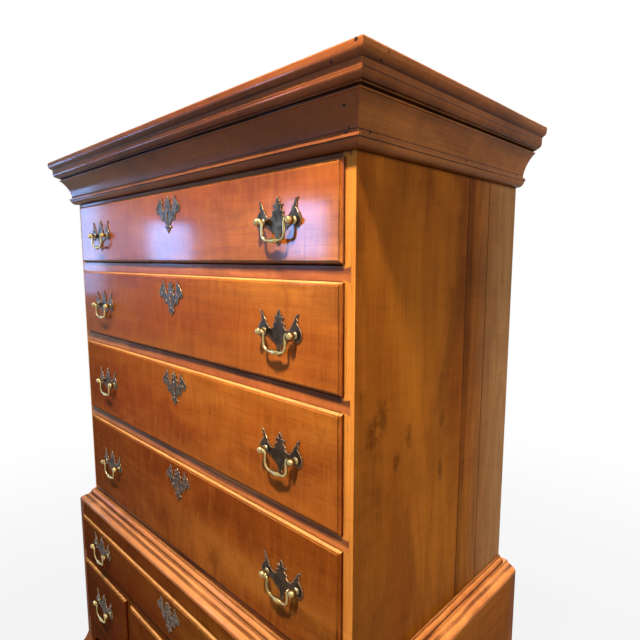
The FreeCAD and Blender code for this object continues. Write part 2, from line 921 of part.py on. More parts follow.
def bail(name):
    """A bail that hangs from the two heads: pegs, beads, bent arms, and a swelling in its grip."""
    body = new_body(name)
    stock = s.bail_stock / 2
    shoulder = s.boring / 2 - s.head_size / 2 - s.peg_clear * 3
    arm = s.bail_width / 2
    drop = s.bail_drop
    bend = s.bail_bend
    half = [
        (shoulder, 0),
        (arm + stock, 0),
        (arm, -stock),
        (arm, -(drop - bend)),
        (arm - bend * 0.3, -(drop - bend * 0.3)),
        (arm - bend, -drop),
    ]
    spine = new_sketch(body, "XZ")
    trace(spine, half + [(-x, z) for x, z in reversed(half)], closed=False)
    arms = body.newObject("PartDesign::AdditivePipe", f"{name}_arms")
    arms.Profile = polygon(body, "YZ", stock, offset=shoulder, corners=6)
    arms.Spine = (spine, [f"Edge{number + 1}" for number in range(spine.GeometryCount)])
    arms.Transition = "Right corner"
    grip = s.grip_size / 2
    start = -(s.grip_length / 2)
    swelling = polygon(body, "YZ", grip, offset=start, shift=(0, -drop), corners=6)
    bevelled_prism(body, swelling, grip, s.grip_length, s.grip_bevel)
    for hand in (-1, 1):
        start = on_side(hand, shoulder - s.bead_length, shoulder)[0]
        pad(body, polygon(body, "YZ", s.bead_size / 2, offset=start, corners=6), s.bead_length)
        peg = circle(body, "YZ", s.peg_size / 2, offset=shoulder * hand)
        pad(body, peg, s.boring / 2 - s.head_size / 2 + s.peg_reach - shoulder, back=hand < 0)
    return body


# ---- the drawers ----


def front_edges(solid_pad):
    """The names of the edges round the outer face of a pad, which lies furthest towards -Y."""
    outer = solid_pad.Shape.BoundBox.YMin
    names = []
    for number, edge in enumerate(solid_pad.Shape.Edges, start=1):
        if abs(edge.BoundBox.YMax - outer) < 0.01:
            names.append(f"Edge{number}")
    return names


def drawer_front(name, left, right, low, high, face, holes, keyholes):
    """A lipped front: a tongue in the opening, and a lip with a thumbnail moulding over its edges.

    holes are for the square shanks of the pulls, each given as x, z, and keyholes are given the same way.
    """
    body = new_body(name)
    lip = new_sketch(body, "XZ")
    lip_low = (left - s.lip_over, s.bottom_clear)
    lip_high = (right + s.lip_over, high - low + s.lip_over_top)
    trace(lip, rectangle(lip_low, lip_high))
    edge_thick = s.lip_proud - s.lip_seat - s.quirk
    slab = pad(body, lip, edge_thick)
    document.recompute()
    thumb = body.newObject("PartDesign::Fillet", f"{name}_thumbnail")
    thumb.Base = (slab, front_edges(slab))
    bind(thumb, Radius=s.thumb_radius)
    field = new_sketch(body, "XZ", offset=edge_thick)
    inset = s.thumb_radius + s.quirk / 2
    field_low = [size_of(value) + inset for value in lip_low]
    field_high = [size_of(value) - inset for value in lip_high]
    trace(field, rectangle(field_low, field_high))
    pad(body, field, s.quirk)
    tongue = new_sketch(body, "XZ")
    tongue_low = (left + s.side_clear, s.bottom_clear)
    tongue_high = (right - s.side_clear, high - low - s.top_clear)
    trace(tongue, rectangle(tongue_low, tongue_high))
    pad(body, tongue, s.tongue_thick + s.lip_seat, back=True)
    half = s.shank_size / 2 + s.shank_clear
    for x, z in holes:
        hole = new_sketch(body, "XZ")
        up = z - low
        trace(hole, rectangle((x - half, up - half), (x + half, up + half)))
        pocket(body, hole)
    for x, z in keyholes:
        cut_keyhole(body, x, z - low)
    return place(body, 0, face - s.lip_seat, low)


def drawer_side(name, outer, inner, low, high, base, depth, tails):
    """A side board with dovetails on its front end; base is the back face of the front's tongue."""
    body = new_body(name)
    outline = new_sketch(body, "YZ")
    tall = high - low
    pitch = tall / tails
    points = [(0, 0), (depth, 0), (depth, tall), (0, tall)]
    for number in range(tails, 0, -1):
        middle = pitch * (number - 0.5)
        points.append((0, middle + pitch * 0.2))
        points.append((-s.tail_length, middle + pitch * 0.31))
        points.append((-s.tail_length, middle - pitch * 0.31))
        points.append((0, middle - pitch * 0.2))
    trace(outline, points)
    pad(body, outline, s.drawer_side)
    return place(body, min(outer, inner, key=lambda face: face.number), base, low)


def drawer(name, left, right, low, high, face, depth, tails, pulls, pull_line, keyed):
    """One drawer in the opening between left, right, low and high, its front board against face.

    It makes the front, the box, the brasses on the front and a bail for each pull, in that order.
    """
    base = face + s.tongue_thick
    run = depth - s.tongue_thick
    box_low = low + s.slide_clear
    box_high = high - s.top_clear * 2
    outer = (left + s.side_clear, right - s.side_clear)
    inner = (outer[0] + s.drawer_side, outer[1] - s.drawer_side)
    bottom_low = box_low + s.bottom_rise
    bottom_top = bottom_low + s.drawer_bottom
    bottom = board(
        f"{name}_bottom",
        (inner[0] - s.groove, base - s.groove, bottom_low),
        (inner[1] + s.groove, base + run, bottom_top),
    )
    back = board(
        f"{name}_back",
        (inner[0] - s.groove, base + run - s.drawer_back * 2, bottom_top),
        (inner[1] + s.groove, base + run - s.drawer_back, box_high - s.top_clear),
    )
    boards = [
        drawer_side(f"{name}_board_{hand}", outer[i], inner[i], box_low, box_high, base, run, tails)
        for i, hand in enumerate(("left", "right"))
    ]
    sides = [let_in(f"{item.Name}_grooved", item, [bottom, back]) for item in boards]
    box = group(f"{name}_box", sides + [bottom, back])

    face_out = face - s.lip_proud
    posts = [(x + s.boring / 2 * hand, pull_line) for x in pulls for hand in (-1, 1)]
    lock_line = high + s.lip_over_top - s.escutcheon_drop - s.plate_rise
    locks = [((left + right) / 2, lock_line)] if keyed else []
    slab = drawer_front(f"{name}_slab", left, right, low, high, face, posts, locks)
    front = let_in(f"{name}_front", slab, boards + [bottom])

    brasses = []
    for number, x in enumerate(pulls, start=1):
        brasses.append(copy_at(f"{name}_plate_{number}", templates["plate"], x, face_out, pull_line))
        for hand, post in ((-1, "post_left"), (1, "post_right")):
            at = x + s.boring / 2 * hand
            label = f"{name}_{post}_{number}"
            brasses.append(copy_at(label, templates[post], at, face_out, pull_line))
    for x, z in locks:
        brasses.append(copy_at(f"{name}_escutcheon", templates["escutcheon"], x, face_out, z))
    bails = []
    for x, hand in zip(pulls, ("left", "right") if len(pulls) > 1 else ("",)):
        item = bail(f"{name}_bail_{hand}".rstrip("_"))
        bails.append(place(item, x, face_out - s.pivot_stand, pull_line))
    return [front, box, group(f"{name}_brasses", brasses)] + bails


def drawers():
    made = []
    upper_depth_in = upper_back - s.back_thick - s.end_gap - upper_front
    upper_pull = upper_side - s.pull_inset
    rows = [
        ("drawer_one", floor_one, s.opening_one, 2, s.pull_raise_first),
        ("drawer_two", floor_two, s.opening_two, 3, 0),
        ("drawer_three", floor_three, s.opening_three, 3, 0),
        ("drawer_four", floor_four, s.opening_four, 3, 0),
    ]
    for name, low, height, tails, lift in rows:
        high = low + height
        line = low + height / 2 + lift
        made += drawer(
            name, -upper_inside, upper_inside, low, high, upper_front, upper_depth_in,
            tails, [-upper_pull, upper_pull], line, True,
        )
    lower_pull = lower_side - s.lower_pull_inset
    lower_depth_in = lower_back - s.back_thick - s.lower_end_gap - lower_front
    line = mid_rail_top + s.opening_five / 2 + s.pull_raise_lower
    made += drawer(
        "drawer_five", -post_inside, post_inside, mid_rail_top, top_rail_low, lower_front,
        lower_depth_in, 2, [-lower_pull, lower_pull], line, True,
    )
    line = apron_top + s.opening_six / 2 + s.pull_raise_lower
    small = [
        ("drawer_six", -post_inside, -partition_far),
        ("drawer_seven", -partition_near, partition_near),
        ("drawer_eight", partition_far, post_inside),
    ]
    for name, left, right in small:
        made += drawer(
            name, left, right, apron_top, mid_rail_low, lower_front,
            lower_depth_in, 3, [(left + right) / 2], line, False,
        )
    return made


templates = {
    "plate": pull_plate(),
    "escutcheon": escutcheon_plate(),
    "post_left": pull_post("post_left", -1),
    "post_right": pull_post("post_right", 1),
}
nodes = upper_case() + mouldings() + lower_case() + drawers()

document.recompute()
for item in document.Objects:
    if "Invalid" in item.State or "Error" in item.State:
        raise RuntimeError(f"{item.Name} failed: {item.State}")
for item in nodes:
    if item.Shape.isNull() or not item.Shape.isValid():
        raise RuntimeError(f"{item.Label} has no valid shape")
os.makedirs("parts", exist_ok=True)
for item in nodes:
    item.Shape.exportStep(f"parts/{item.Label}.step")
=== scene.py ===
import json
import math

import bmesh
import bpy
from mathutils import Matrix, Vector

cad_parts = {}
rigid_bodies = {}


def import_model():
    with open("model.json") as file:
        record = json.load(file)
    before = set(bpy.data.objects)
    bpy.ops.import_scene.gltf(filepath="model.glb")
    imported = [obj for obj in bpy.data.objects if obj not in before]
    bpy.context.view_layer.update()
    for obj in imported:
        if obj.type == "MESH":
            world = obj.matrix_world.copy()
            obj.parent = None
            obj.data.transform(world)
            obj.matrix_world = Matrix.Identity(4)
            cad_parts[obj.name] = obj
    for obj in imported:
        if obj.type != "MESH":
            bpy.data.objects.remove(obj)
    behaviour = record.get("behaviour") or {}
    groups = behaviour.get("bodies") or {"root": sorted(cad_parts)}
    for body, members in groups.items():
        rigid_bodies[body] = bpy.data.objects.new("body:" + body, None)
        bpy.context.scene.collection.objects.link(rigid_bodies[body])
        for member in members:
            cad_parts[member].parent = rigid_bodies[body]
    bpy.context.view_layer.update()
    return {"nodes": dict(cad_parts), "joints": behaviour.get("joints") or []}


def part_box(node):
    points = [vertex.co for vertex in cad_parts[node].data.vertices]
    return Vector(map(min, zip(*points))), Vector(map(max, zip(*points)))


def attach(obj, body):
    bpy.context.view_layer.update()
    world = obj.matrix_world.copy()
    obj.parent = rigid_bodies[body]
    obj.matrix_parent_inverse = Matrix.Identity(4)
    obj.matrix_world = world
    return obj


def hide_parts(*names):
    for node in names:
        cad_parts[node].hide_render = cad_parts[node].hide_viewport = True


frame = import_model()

scene = bpy.context.scene
nodes = frame["nodes"]
MM = 0.001


# ---- node trees ----

EDGE_SAMPLES = 6
HOLLOW_SAMPLES = 8
EDGE_TURN = (0.997, 0.88)  # dot product of the rounded and the flat normal: beside an edge, and on it


class Tree:
    """Builds one material's node tree; a socket given as a value is linked, anything else is set."""

    def __init__(self, name):
        self.material = bpy.data.materials.new(name)
        self.material.use_nodes = True
        self.tree = self.material.node_tree
        self.tree.nodes.clear()

    def add(self, kind, out=0, props=None, **values):
        """Add a node with its properties and inputs, and give one of its outputs by number or name."""
        item = self.tree.nodes.new("ShaderNode" + kind)
        for key, value in (props or {}).items():
            setattr(item, key, value)
        for key, value in values.items():
            self.feed(item, key, value)
        return item.outputs[out] if item.outputs else item

    def feed(self, item, key, value):
        """Link or set an input: i6 is the one with number 6, and Base_Color the one called Base Color."""
        if key.startswith("i") and key[1:].isdigit():
            socket = item.inputs[int(key[1:])]
        else:
            socket = item.inputs[key.replace("_", " ")]
        if isinstance(value, bpy.types.NodeSocket):
            self.tree.links.new(value, socket)
        else:
            socket.default_value = value

    def math(self, operation, a, b=0.0, clamp=False):
        return self.add("Math", props={"operation": operation, "use_clamp": clamp}, i0=a, i1=b)

    def vector(self, operation, a, b, out="Vector"):
        return self.add("VectorMath", out=out, props={"operation": operation}, i0=a, i1=b)

    def span(self, value, low, high, to_low=0.0, to_high=1.0):
        """Map value smoothly from low..high to to_low..to_high, held at the ends."""
        return self.add(
            "MapRange", props={"interpolation_type": "SMOOTHSTEP"}, i0=value, i1=low, i2=high, i3=to_low,
            i4=to_high,
        )

    def mix(self, share, first, second):
        """Blend two colours, each of them a socket or three numbers."""
        first, second = (
            colour if isinstance(colour, bpy.types.NodeSocket) else (*colour, 1)
            for colour in (first, second)
        )
        # The colours are the inputs 6 and 7 of this node, and their blend is its output 2.
        return self.add("Mix", out=2, props={"data_type": "RGBA"}, i0=share, i6=first, i7=second)

    def noise(self, vector, scale, detail, roughness, distortion=0.0):
        return self.add(
            "TexNoise", Vector=vector, Scale=scale, Detail=detail, Roughness=roughness,
            Distortion=distortion,
        )

    def grained(self, place, grain, look, shift):
        """A noise drawn out along the grain; look is as in the lists of noises of the woods."""
        slow, fast, *settings = look
        stretched = self.add("Mapping", Vector=place, Scale=by_grain(grain, slow, fast), Location=shift)
        return self.noise(stretched, 1.0, *settings)

    def bump(self, height, strength, distance, normal):
        return self.add("Bump", Height=height, Strength=strength, Distance=distance, Normal=normal)

    def soft_edges(self, radius):
        """The normal with rounded edges, and a share that is 1 on an edge and 0 on flat ground."""
        rounded = self.add("Bevel", props={"samples": EDGE_SAMPLES}, Radius=radius)
        flat = self.add("NewGeometry", out="True Normal")
        turned = self.vector("DOT_PRODUCT", rounded, flat, out="Value")
        return rounded, self.span(turned, *EDGE_TURN)

    def hollow(self, distance, closed, clear, top):
        """A share that is top in a corner, as open as closed, and 0 on ground as open as clear."""
        props = {"samples": HOLLOW_SAMPLES}
        open_share = self.add("AmbientOcclusion", out="AO", props=props, Distance=distance)
        return self.span(open_share, clear, closed, 0.0, top)

    def finish(self, **values):
        shader = self.add("BsdfPrincipled", **values)
        self.add("OutputMaterial", Surface=shader)
        return self.material


def by_grain(grain, slow, fast):
    """Three scales: slow for the axis of the grain and fast for the other two."""
    return tuple(slow if axis == grain else fast for axis in "XYZ")


def srgb(red, green, blue):
    """A colour written as 0-255 display values."""
    return tuple(
        v / 12.92 if v <= 0.04045 else ((v + 0.055) / 1.055) ** 2.4
        for v in (c / 255 for c in (red, green, blue))
    )


def shade(colour, share):
    """A lighter or darker tone of a colour."""
    return tuple(min(1.0, c * share) for c in colour)


# ---- varnished wood ----

# Noises: (cells to the metre along the grain, the same across it, detail, roughness), with the distortion
# last where there is one.
WARP = (0.7, 4.0, 3.0, 0.5, 0.5)
BROAD = (1.3, 7.0, 3.0, 0.5, 0.4)
CLOUD = (3.4, 6.5, 4.0, 0.6, 0.9)
FIBRE = (7.0, 330.0, 4.0, 0.65)
PORES = (38.0, 1100.0, 1.0, 0.5)
RIPPLE = (62.0, 13.0, 3.0, 0.55, 1.2)
WAVES = (5.0, 18.0, 2.0, 0.5)
SEED_STEPS = (1.37, 2.11, 0.73)
# Ranges of the noises: (from, to), with the share at from and the share at to where both are fixed.
RINGS = 85.0  # radians of the growth bands' sine to one unit of WARP
RING_RANGE = (-0.7, 1.0)
RING_DARK = 0.14
LIGHT_RANGE = (0.34, 0.66)
CLOUD_DARK = (0.42, 0.7, 0.0, 0.48)
FIBRE_DARK = (0.42, 0.74, 0.0, 0.27)
PORE_RANGE = (0.6, 0.75)
PORE_DARK = 0.32
CURL_LOW = (0.28, 0.5)
CURL_HIGH = (0.5, 0.75)
CURL_DARK = 0.4
CURL_LIGHT = 0.35
# A streak wanders by this many of its half widths, is full in this share of them, and breaks up in clouds.
STREAK_WANDER = 4
STREAK_CORE = 0.3
STREAK_CLOUDS = (0.3, 0.55, 0.4, 1.0)
# A knot is drawn out along the grain. Its core, rim and ragged outline are in sizes of the knot.
KNOT_SQUEEZE = 0.45
KNOT_CORE = 0.1
KNOT_RIM = 1.3
KNOT_RAGGED = 2.6
KNOT_NOISE = (70.0, 3.0, 0.6, 1.5)
KNOT_DARK = 0.5
# Rubbed edges, painted paler outside the clouds with a painted highlight along them, and grime with
# painted shade in corners: the open share of the surroundings where it is full and where it ends.
EDGE_RADIUS = 1.4 * MM
WEAR_AND_HIGHLIGHT = (0.35, 0.62, 0.8, 0.3)
GRIME_AND_SHADE_OPEN = (0.4, 0.92)
# Roughness and relief.
CLOUD_RANGE = (0.35, 0.7)
CLOUD_ROUGH = 0.12
GRIME_ROUGH = 0.35
FIBRE_ROUGH = (0.4, 0.8, 0.0, 0.08)
FIBRE_HEIGHT = 0.3
WAVE_HEIGHT = 2.6
PORE_DEPTH = 0.5
RELIEF = (0.3, 0.5 * MM)
COAT_ROUGH = 0.1


def streaked(t, colour, tone, streaks, parts, broad, cloud):
    """The colour with dark bands that wander with the broad noise."""
    off_line = t.math("SUBTRACT", broad, 0.5)
    for across, middle_at, half, strength in streaks:
        wander = t.math("MULTIPLY", off_line, half * STREAK_WANDER)
        reach = t.math("SUBTRACT", t.math("ADD", parts[across], wander), middle_at)
        band = t.span(t.math("ABSOLUTE", reach), half * STREAK_CORE, half, strength, 0.0)
        colour = t.mix(t.math("MULTIPLY", band, t.span(cloud, *STREAK_CLOUDS)), colour, tone)
    return colour


def knotted(t, colour, tone, knots, place, grain):
    """The colour with ragged dark blemishes."""
    for x, y, z, size in knots:
        from_knot = t.vector("SUBTRACT", place, (x, y, z))
        offset = t.vector("MULTIPLY", from_knot, by_grain(grain, KNOT_SQUEEZE, 1.0))
        reach = t.vector("LENGTH", offset, (0, 0, 0), out="Value")
        uneven = t.math("SUBTRACT", t.noise(place, *KNOT_NOISE), 0.5)
        reach = t.math("ADD", reach, t.math("MULTIPLY", uneven, size * KNOT_RAGGED))
        colour = t.mix(t.span(reach, size * KNOT_CORE, size * KNOT_RIM, KNOT_DARK, 0.0), colour, tone)
    return colour


def wood(
    name, grain, tones, seed, roughness=0.27, curl=0.3, grime_and_shade_strength=0.7, crevice=11 * MM, coat=0.12, sheen=0.0,
    streaks=(), knots=(), faces=(), fades=(),
):
    """Old varnished wood with its grain along one axis.

    tones are light, middle and dark. roughness is that of the smoothest places, curl the strength of
    the figure across the grain, grime_and_shade_strength that of the darkening in corners, which is
    partly soiling and partly painted shade, and crevice how far out it reaches; coat is the varnish
    that is left and sheen the gloss of the wood under it. streaks are dark bands at (axis, place, half
    width, strength), which on the rails are painted shadow, and knots are dark blemishes at (x, y, z,
    size). faces are tones of the surfaces that look along an axis, most of them painted light and
    shade, as (axis, share of the normal where it starts, share where it is full, strength, tone);
    fades are tones that grow along an axis, here painted light, shade and reflection, as (axis,
    start, end, strength, tone).
    """
    light, middle, dark = tones
    t = Tree(name)
    place = t.add("TexCoord", out="Object")
    parts = t.add("SeparateXYZ", Vector=place).node.outputs
    facing = t.add("SeparateXYZ", Vector=t.add("NewGeometry", out="Normal")).node.outputs
    shift = tuple(seed * step for step in SEED_STEPS)
    warp, broad, cloud, fibre, pores, ripple, waves = (
        t.grained(place, grain, look, shift) for look in (WARP, BROAD, CLOUD, FIBRE, PORES, RIPPLE, WAVES)
    )

    colour = t.mix(t.span(broad, *LIGHT_RANGE), middle, light)
    colour = t.mix(t.span(cloud, *CLOUD_DARK), colour, dark)
    for across, start, end, strength, tone in fades:
        colour = t.mix(t.span(parts[across], start, end, 0.0, strength), colour, tone)
    for across, start, full, strength, tone in faces:
        colour = t.mix(t.span(facing[across], start, full, 0.0, strength), colour, tone)
    rings = t.span(t.math("SINE", t.math("MULTIPLY", warp, RINGS)), *RING_RANGE)
    colour = t.mix(t.math("MULTIPLY", rings, RING_DARK), colour, dark)
    colour = t.mix(t.span(fibre, *FIBRE_DARK), colour, dark)
    colour = t.mix(t.span(pores, *PORE_RANGE, 0.0, PORE_DARK), colour, shade(dark, 0.4))
    colour = t.mix(t.span(ripple, *CURL_LOW, curl * CURL_DARK, 0.0), colour, dark)
    colour = t.mix(t.span(ripple, *CURL_HIGH, 0.0, curl * CURL_LIGHT), colour, shade(light, 1.1))
    colour = streaked(t, colour, shade(dark, 0.5), streaks, parts, broad, cloud)
    colour = knotted(t, colour, shade(dark, 0.45), knots, place, grain)

    rounded, edge = t.soft_edges(EDGE_RADIUS)
    # Edges painted paler: rubbed wear, and a painted highlight along them.
    colour = t.mix(t.math("MULTIPLY", edge, t.span(cloud, *WEAR_AND_HIGHLIGHT)), colour, shade(light, 1.35))
    # Corners painted darker: grime, and painted shade.
    grime_and_shade = t.hollow(crevice, *GRIME_AND_SHADE_OPEN, grime_and_shade_strength)
    colour = t.mix(grime_and_shade, colour, shade(dark, 0.2))

    clouded = t.span(cloud, *CLOUD_RANGE, roughness, roughness + CLOUD_ROUGH)
    rough = t.math("ADD", clouded, t.math("MULTIPLY", grime_and_shade, GRIME_ROUGH))
    rough = t.math("ADD", rough, t.span(fibre, *FIBRE_ROUGH), clamp=True)
    height = t.math("ADD", t.math("MULTIPLY", fibre, FIBRE_HEIGHT), t.math("MULTIPLY", waves, WAVE_HEIGHT))
    height = t.math("SUBTRACT", height, t.span(pores, *PORE_RANGE, 0.0, PORE_DEPTH))
    return t.finish(
        Base_Color=colour, Roughness=rough, Normal=t.bump(height, *RELIEF, rounded),
        Specular_IOR_Level=sheen, Coat_Weight=coat, Coat_Roughness=COAT_ROUGH,
    )


# ---- raw wood ----

# Each of these says what the one without RAW_ says for varnished wood.
RAW_WARP = (0.5, 9.0, 2.0, 0.5, 0.2)
RAW_FIBRE = (10.0, 360.0, 4.0, 0.65)
RAW_SEED_STEPS = (0.91, 1.7, 1.3)
RAW_RINGS = 110.0
RAW_RING_RANGE = (-0.2, 1.0)
RAW_RING_DARK = 0.26
RAW_FIBRE_DARK = (0.42, 0.78, 0.0, 0.45)
RAW_EDGE_RADIUS = 1 * MM
RAW_FIBRE_ROUGH = (0.3, 0.8, 0.62, 0.85)
RAW_FIBRE_HEIGHT = 0.6
RAW_RELIEF = (0.4, 0.6 * MM)
# These are raw wood's own: blotches, saw marks, dust in corners, pale edges and a little sheen.
BLOTCH = (3.5, 3.5, 3.0, 0.6)
BLOTCH_DARK = (0.5, 0.8, 0.0, 0.6)
SAW = (150.0, 5.0, 1.0, 0.5)
RAW_DUST = (30 * MM, 0.3, 0.92, 0.7)  # as Tree.hollow takes it
RAW_EDGE_LIGHT = 0.35
SAW_HEIGHT = 0.5
RAW_SHEEN = 0.25


def raw_wood(name, grain, tones, seed):
    """Unfinished secondary wood: dry, with saw marks, darkened by age; tones are light and dark."""
    light, dark = tones
    t = Tree(name)
    place = t.add("TexCoord", out="Object")
    shift = tuple(seed * step for step in RAW_SEED_STEPS)
    warp, fibre, blotch, saw = (
        t.grained(place, grain, look, shift) for look in (RAW_WARP, RAW_FIBRE, BLOTCH, SAW)
    )
    rings = t.span(t.math("SINE", t.math("MULTIPLY", warp, RAW_RINGS)), *RAW_RING_RANGE)
    colour = t.mix(t.math("MULTIPLY", rings, RAW_RING_DARK), light, dark)
    colour = t.mix(t.span(fibre, *RAW_FIBRE_DARK), colour, dark)
    colour = t.mix(t.span(blotch, *BLOTCH_DARK), colour, shade(dark, 0.45))
    colour = t.mix(t.hollow(*RAW_DUST), colour, shade(dark, 0.25))
    rounded, edge = t.soft_edges(RAW_EDGE_RADIUS)
    colour = t.mix(t.math("MULTIPLY", edge, RAW_EDGE_LIGHT), colour, shade(light, 1.2))
    sawn = t.math("MULTIPLY", saw, SAW_HEIGHT)
    height = t.math("ADD", t.math("MULTIPLY", fibre, RAW_FIBRE_HEIGHT), sawn)
    return t.finish(
        Base_Color=colour, Roughness=t.span(fibre, *RAW_FIBRE_ROUGH),
        Normal=t.bump(height, *RAW_RELIEF, rounded), Specular_IOR_Level=RAW_SHEEN,
    )


# ---- the metals ----

# Noises: (cells to the metre, detail, roughness).
PATCH = (60.0, 3.0, 0.6)
PATCH_RANGE = (0.36, 0.68)
SPECK = (520.0, 2.0, 0.5)
SPECK_DARK = (0.58, 0.75)
SPECK_ROUGH = (0.5, 0.8)
METAL_TARNISH_AND_SHADE = (7 * MM, 0.3, 0.9, 0.8)  # as Tree.hollow takes it; hollows darkened by tarnish and painted shade
DULL_ROUGH = 0.2
PIT_ROUGH = 0.3
METAL_RELIEF = (0.12, 0.5 * MM)
RIM_HIGHLIGHT_GAIN = 8  # how much brighter than the rest an edge is painted, as a highlight


def metal(name, bright, dull, tarnish, roughness, pitted, rim_highlight, edge_width):
    """Old cast brass: bright edges, brown in the hollows and in patches, and pitted a little.

    tarnish, pitted and rim_highlight are the strengths of the patches, the specks and the painted
    highlight on the edges.
    """
    t = Tree(name)
    place = t.add("TexCoord", out="Object")
    patch = t.noise(place, *PATCH)
    speck = t.noise(place, *SPECK)
    rounded, edge = t.soft_edges(edge_width)
    patches = t.span(patch, *PATCH_RANGE, 0.0, tarnish)
    # Tarnish in patches, and hollows darkened by tarnish and painted shade.
    share = t.math("ADD", patches, t.hollow(*METAL_TARNISH_AND_SHADE), clamp=True)
    colour = t.mix(share, bright, dull)
    colour = t.mix(t.span(speck, *SPECK_DARK, 0.0, pitted), colour, shade(dull, 0.45))
    # A painted highlight along the edges.
    colour = t.mix(t.math("MULTIPLY", edge, rim_highlight), colour, shade(bright, RIM_HIGHLIGHT_GAIN))
    rough = t.math("ADD", t.math("MULTIPLY", share, DULL_ROUGH), roughness)
    rough = t.math("ADD", rough, t.span(speck, *SPECK_ROUGH, 0.0, pitted * PIT_ROUGH), clamp=True)
    height = t.math("ADD", patch, t.math("MULTIPLY", speck, pitted))
    return t.finish(
        Base_Color=colour, Metallic=1.0, Roughness=rough, Normal=t.bump(height, *METAL_RELIEF, rounded),
    )


# The rust of the nails.
CRUST = (900.0, 3.0, 0.6)
CRUST_RANGE = (0.4, 0.7)
CRUST_TONES = (srgb(26, 18, 15), srgb(58, 36, 24))
CRUST_EDGE = srgb(90, 60, 40)
CRUST_EDGE_RADIUS = 0.3 * MM
CRUST_WEAR = 0.3
CRUST_ROUGH = (0.3, 0.7, 0.6, 0.9)
CRUST_RELIEF = (0.5, 0.3 * MM)
CRUST_SHINE = 0.1


def iron():
    """Rusted nail heads sunk in dark holes."""
    t = Tree("old_iron")
    crust = t.noise(t.add("TexCoord", out="Object"), *CRUST)
    rounded, edge = t.soft_edges(CRUST_EDGE_RADIUS)
    colour = t.mix(t.span(crust, *CRUST_RANGE), *CRUST_TONES)
    colour = t.mix(t.math("MULTIPLY", edge, CRUST_WEAR), colour, CRUST_EDGE)
    return t.finish(
        Base_Color=colour, Roughness=t.span(crust, *CRUST_ROUGH),
        Normal=t.bump(crust, *CRUST_RELIEF, rounded), Specular_IOR_Level=CRUST_SHINE,
    )


# ---- the woods, by node ----

# Light, middle and dark.
FRONT = (srgb(214, 124, 42), srgb(178, 87, 24), srgb(94, 35, 10))
SIDE = (srgb(178, 105, 27), srgb(147, 78, 17), srgb(82, 36, 9))
CROWN = (srgb(184, 113, 52), srgb(143, 80, 34), srgb(62, 31, 14))
CROWN_FRONT = (srgb(174, 94, 46), srgb(138, 68, 31), srgb(62, 29, 14))
WAIST = (srgb(222, 138, 70), srgb(184, 100, 42), srgb(104, 48, 18))
RAIL = (srgb(216, 124, 54), srgb(186, 94, 36), srgb(104, 42, 14))
LEG_TONES = (srgb(176, 98, 40), srgb(136, 68, 26), srgb(64, 30, 14))
RAW = (srgb(190, 146, 96), srgb(136, 94, 54))  # light and dark

# Tones of faces, as wood() takes them. The front edge of a side is painted lighter: partly the tone of
# the front, partly painted light. The side edges of a drawer front are dark with old finish and with
# painted shade at the gap; its upper edge has a painted highlight, as the upward faces of a moulding
# have, and the faces that look down have painted shade.
STILE_TONE_AND_PAINTED_LIGHT = ("Y", -0.7, -0.95, 0.9, srgb(234, 144, 56))
LIP_TONE = srgb(84, 26, 10)
LIP_FINISH_AND_PAINTED_LIGHT = [
    ("X", 0.1, 0.4, 0.25, LIP_TONE), ("X", 0.72, 0.95, 0.9, LIP_TONE), ("X", -0.12, -0.5, 0.9, LIP_TONE),
    ("Z", 0.2, 0.75, 0.75, srgb(246, 172, 96)), ("Z", -0.3, -0.75, 0.85, LIP_TONE),
]
# Painted highlight on the faces of the mouldings that look up, and painted shade on those that look down.
CROWN_PAINTED_LIGHT = [("Z", 0.2, 0.9, 0.4, srgb(214, 142, 78)), ("Z", -0.4, -0.9, 0.35, srgb(66, 30, 14))]
WAIST_PAINTED_LIGHT = [("Z", 0.1, 0.8, 0.25, srgb(246, 170, 96)), ("Z", -0.15, -0.8, 0.5, srgb(96, 44, 18))]

# Tones that grow along an axis: painted light on the cornice towards its right corner, a painted
# reflection on the sides towards the back, and painted shade on the drawer fronts towards the left,
# darker and redder.
CORNER_PAINTED_LIGHT = ("X", 0.1, 0.48, 0.35, srgb(204, 112, 54))
BACK_PAINTED_REFLECTION = ("Y", 0.06, 0.24, 0.78, srgb(194, 148, 98))
LEFT_PAINTED_SHADE = ("X", 0.34, -0.26, 0.6)
LEFT_PAINTED_SHADE_TONE = srgb(158, 60, 22)

SIDE_COAT = 0.06
# Streaks as wood() takes them, and knots as (y, z, size) on the outer face of the right side.
SIDE_STREAKS = [("Y", 0.0625, 0.0026, 0.85), ("Y", 0.072, 0.012, 0.4), ("Y", 0.1355, 0.002, 0.9)]
SIDE_KNOTS = [
    (-0.098, 1.326, 0.010), (-0.128, 1.290, 0.008), (-0.003, 1.327, 0.007), (-0.165, 1.366, 0.014),
    (-0.190, 1.350, 0.012), (-0.004, 1.239, 0.009),
]

# Dark lines on the mouldings, at the crevices of their profiles, at shares of the height.
CREASES = {
    "cornice_front": (0.112, 0.155, 0.205, 0.6, 0.63, 0.73, 0.825),
    "waist_moulding": (0.12, 0.6, 0.68, 0.97),
    "base_strip": (0.16, 0.8),
}
CREASE_HALF = 1.1 * MM
QUIRK = 5.2 * MM  # from the edge of a drawer front to the step round its field
QUIRK_HALF = 1.3 * MM
CREASE_DARK = 0.85
# Painted shadows on the upper rails under the lip of each drawer, by their strength.
LIP_PAINTED_SHADOWS = {"one": 0.6, "two": 0.85, "three": 0.9, "four": 0.9}
LIP_PAINTED_SHADOW_DROP = 6 * MM
LIP_PAINTED_SHADOW_HALF = 9 * MM

FRONT_ROUGHNESS = 0.2
FRONT_CURL = 0.55
# How dark the corners of the mouldings are painted, for grime and painted shade.
MOULDING_GRIME_AND_SHADE = 0.9
# How far the darkening in the corners of the rails reaches; it paints shade under the drawer lips.
RAIL_CREVICE = 14 * MM
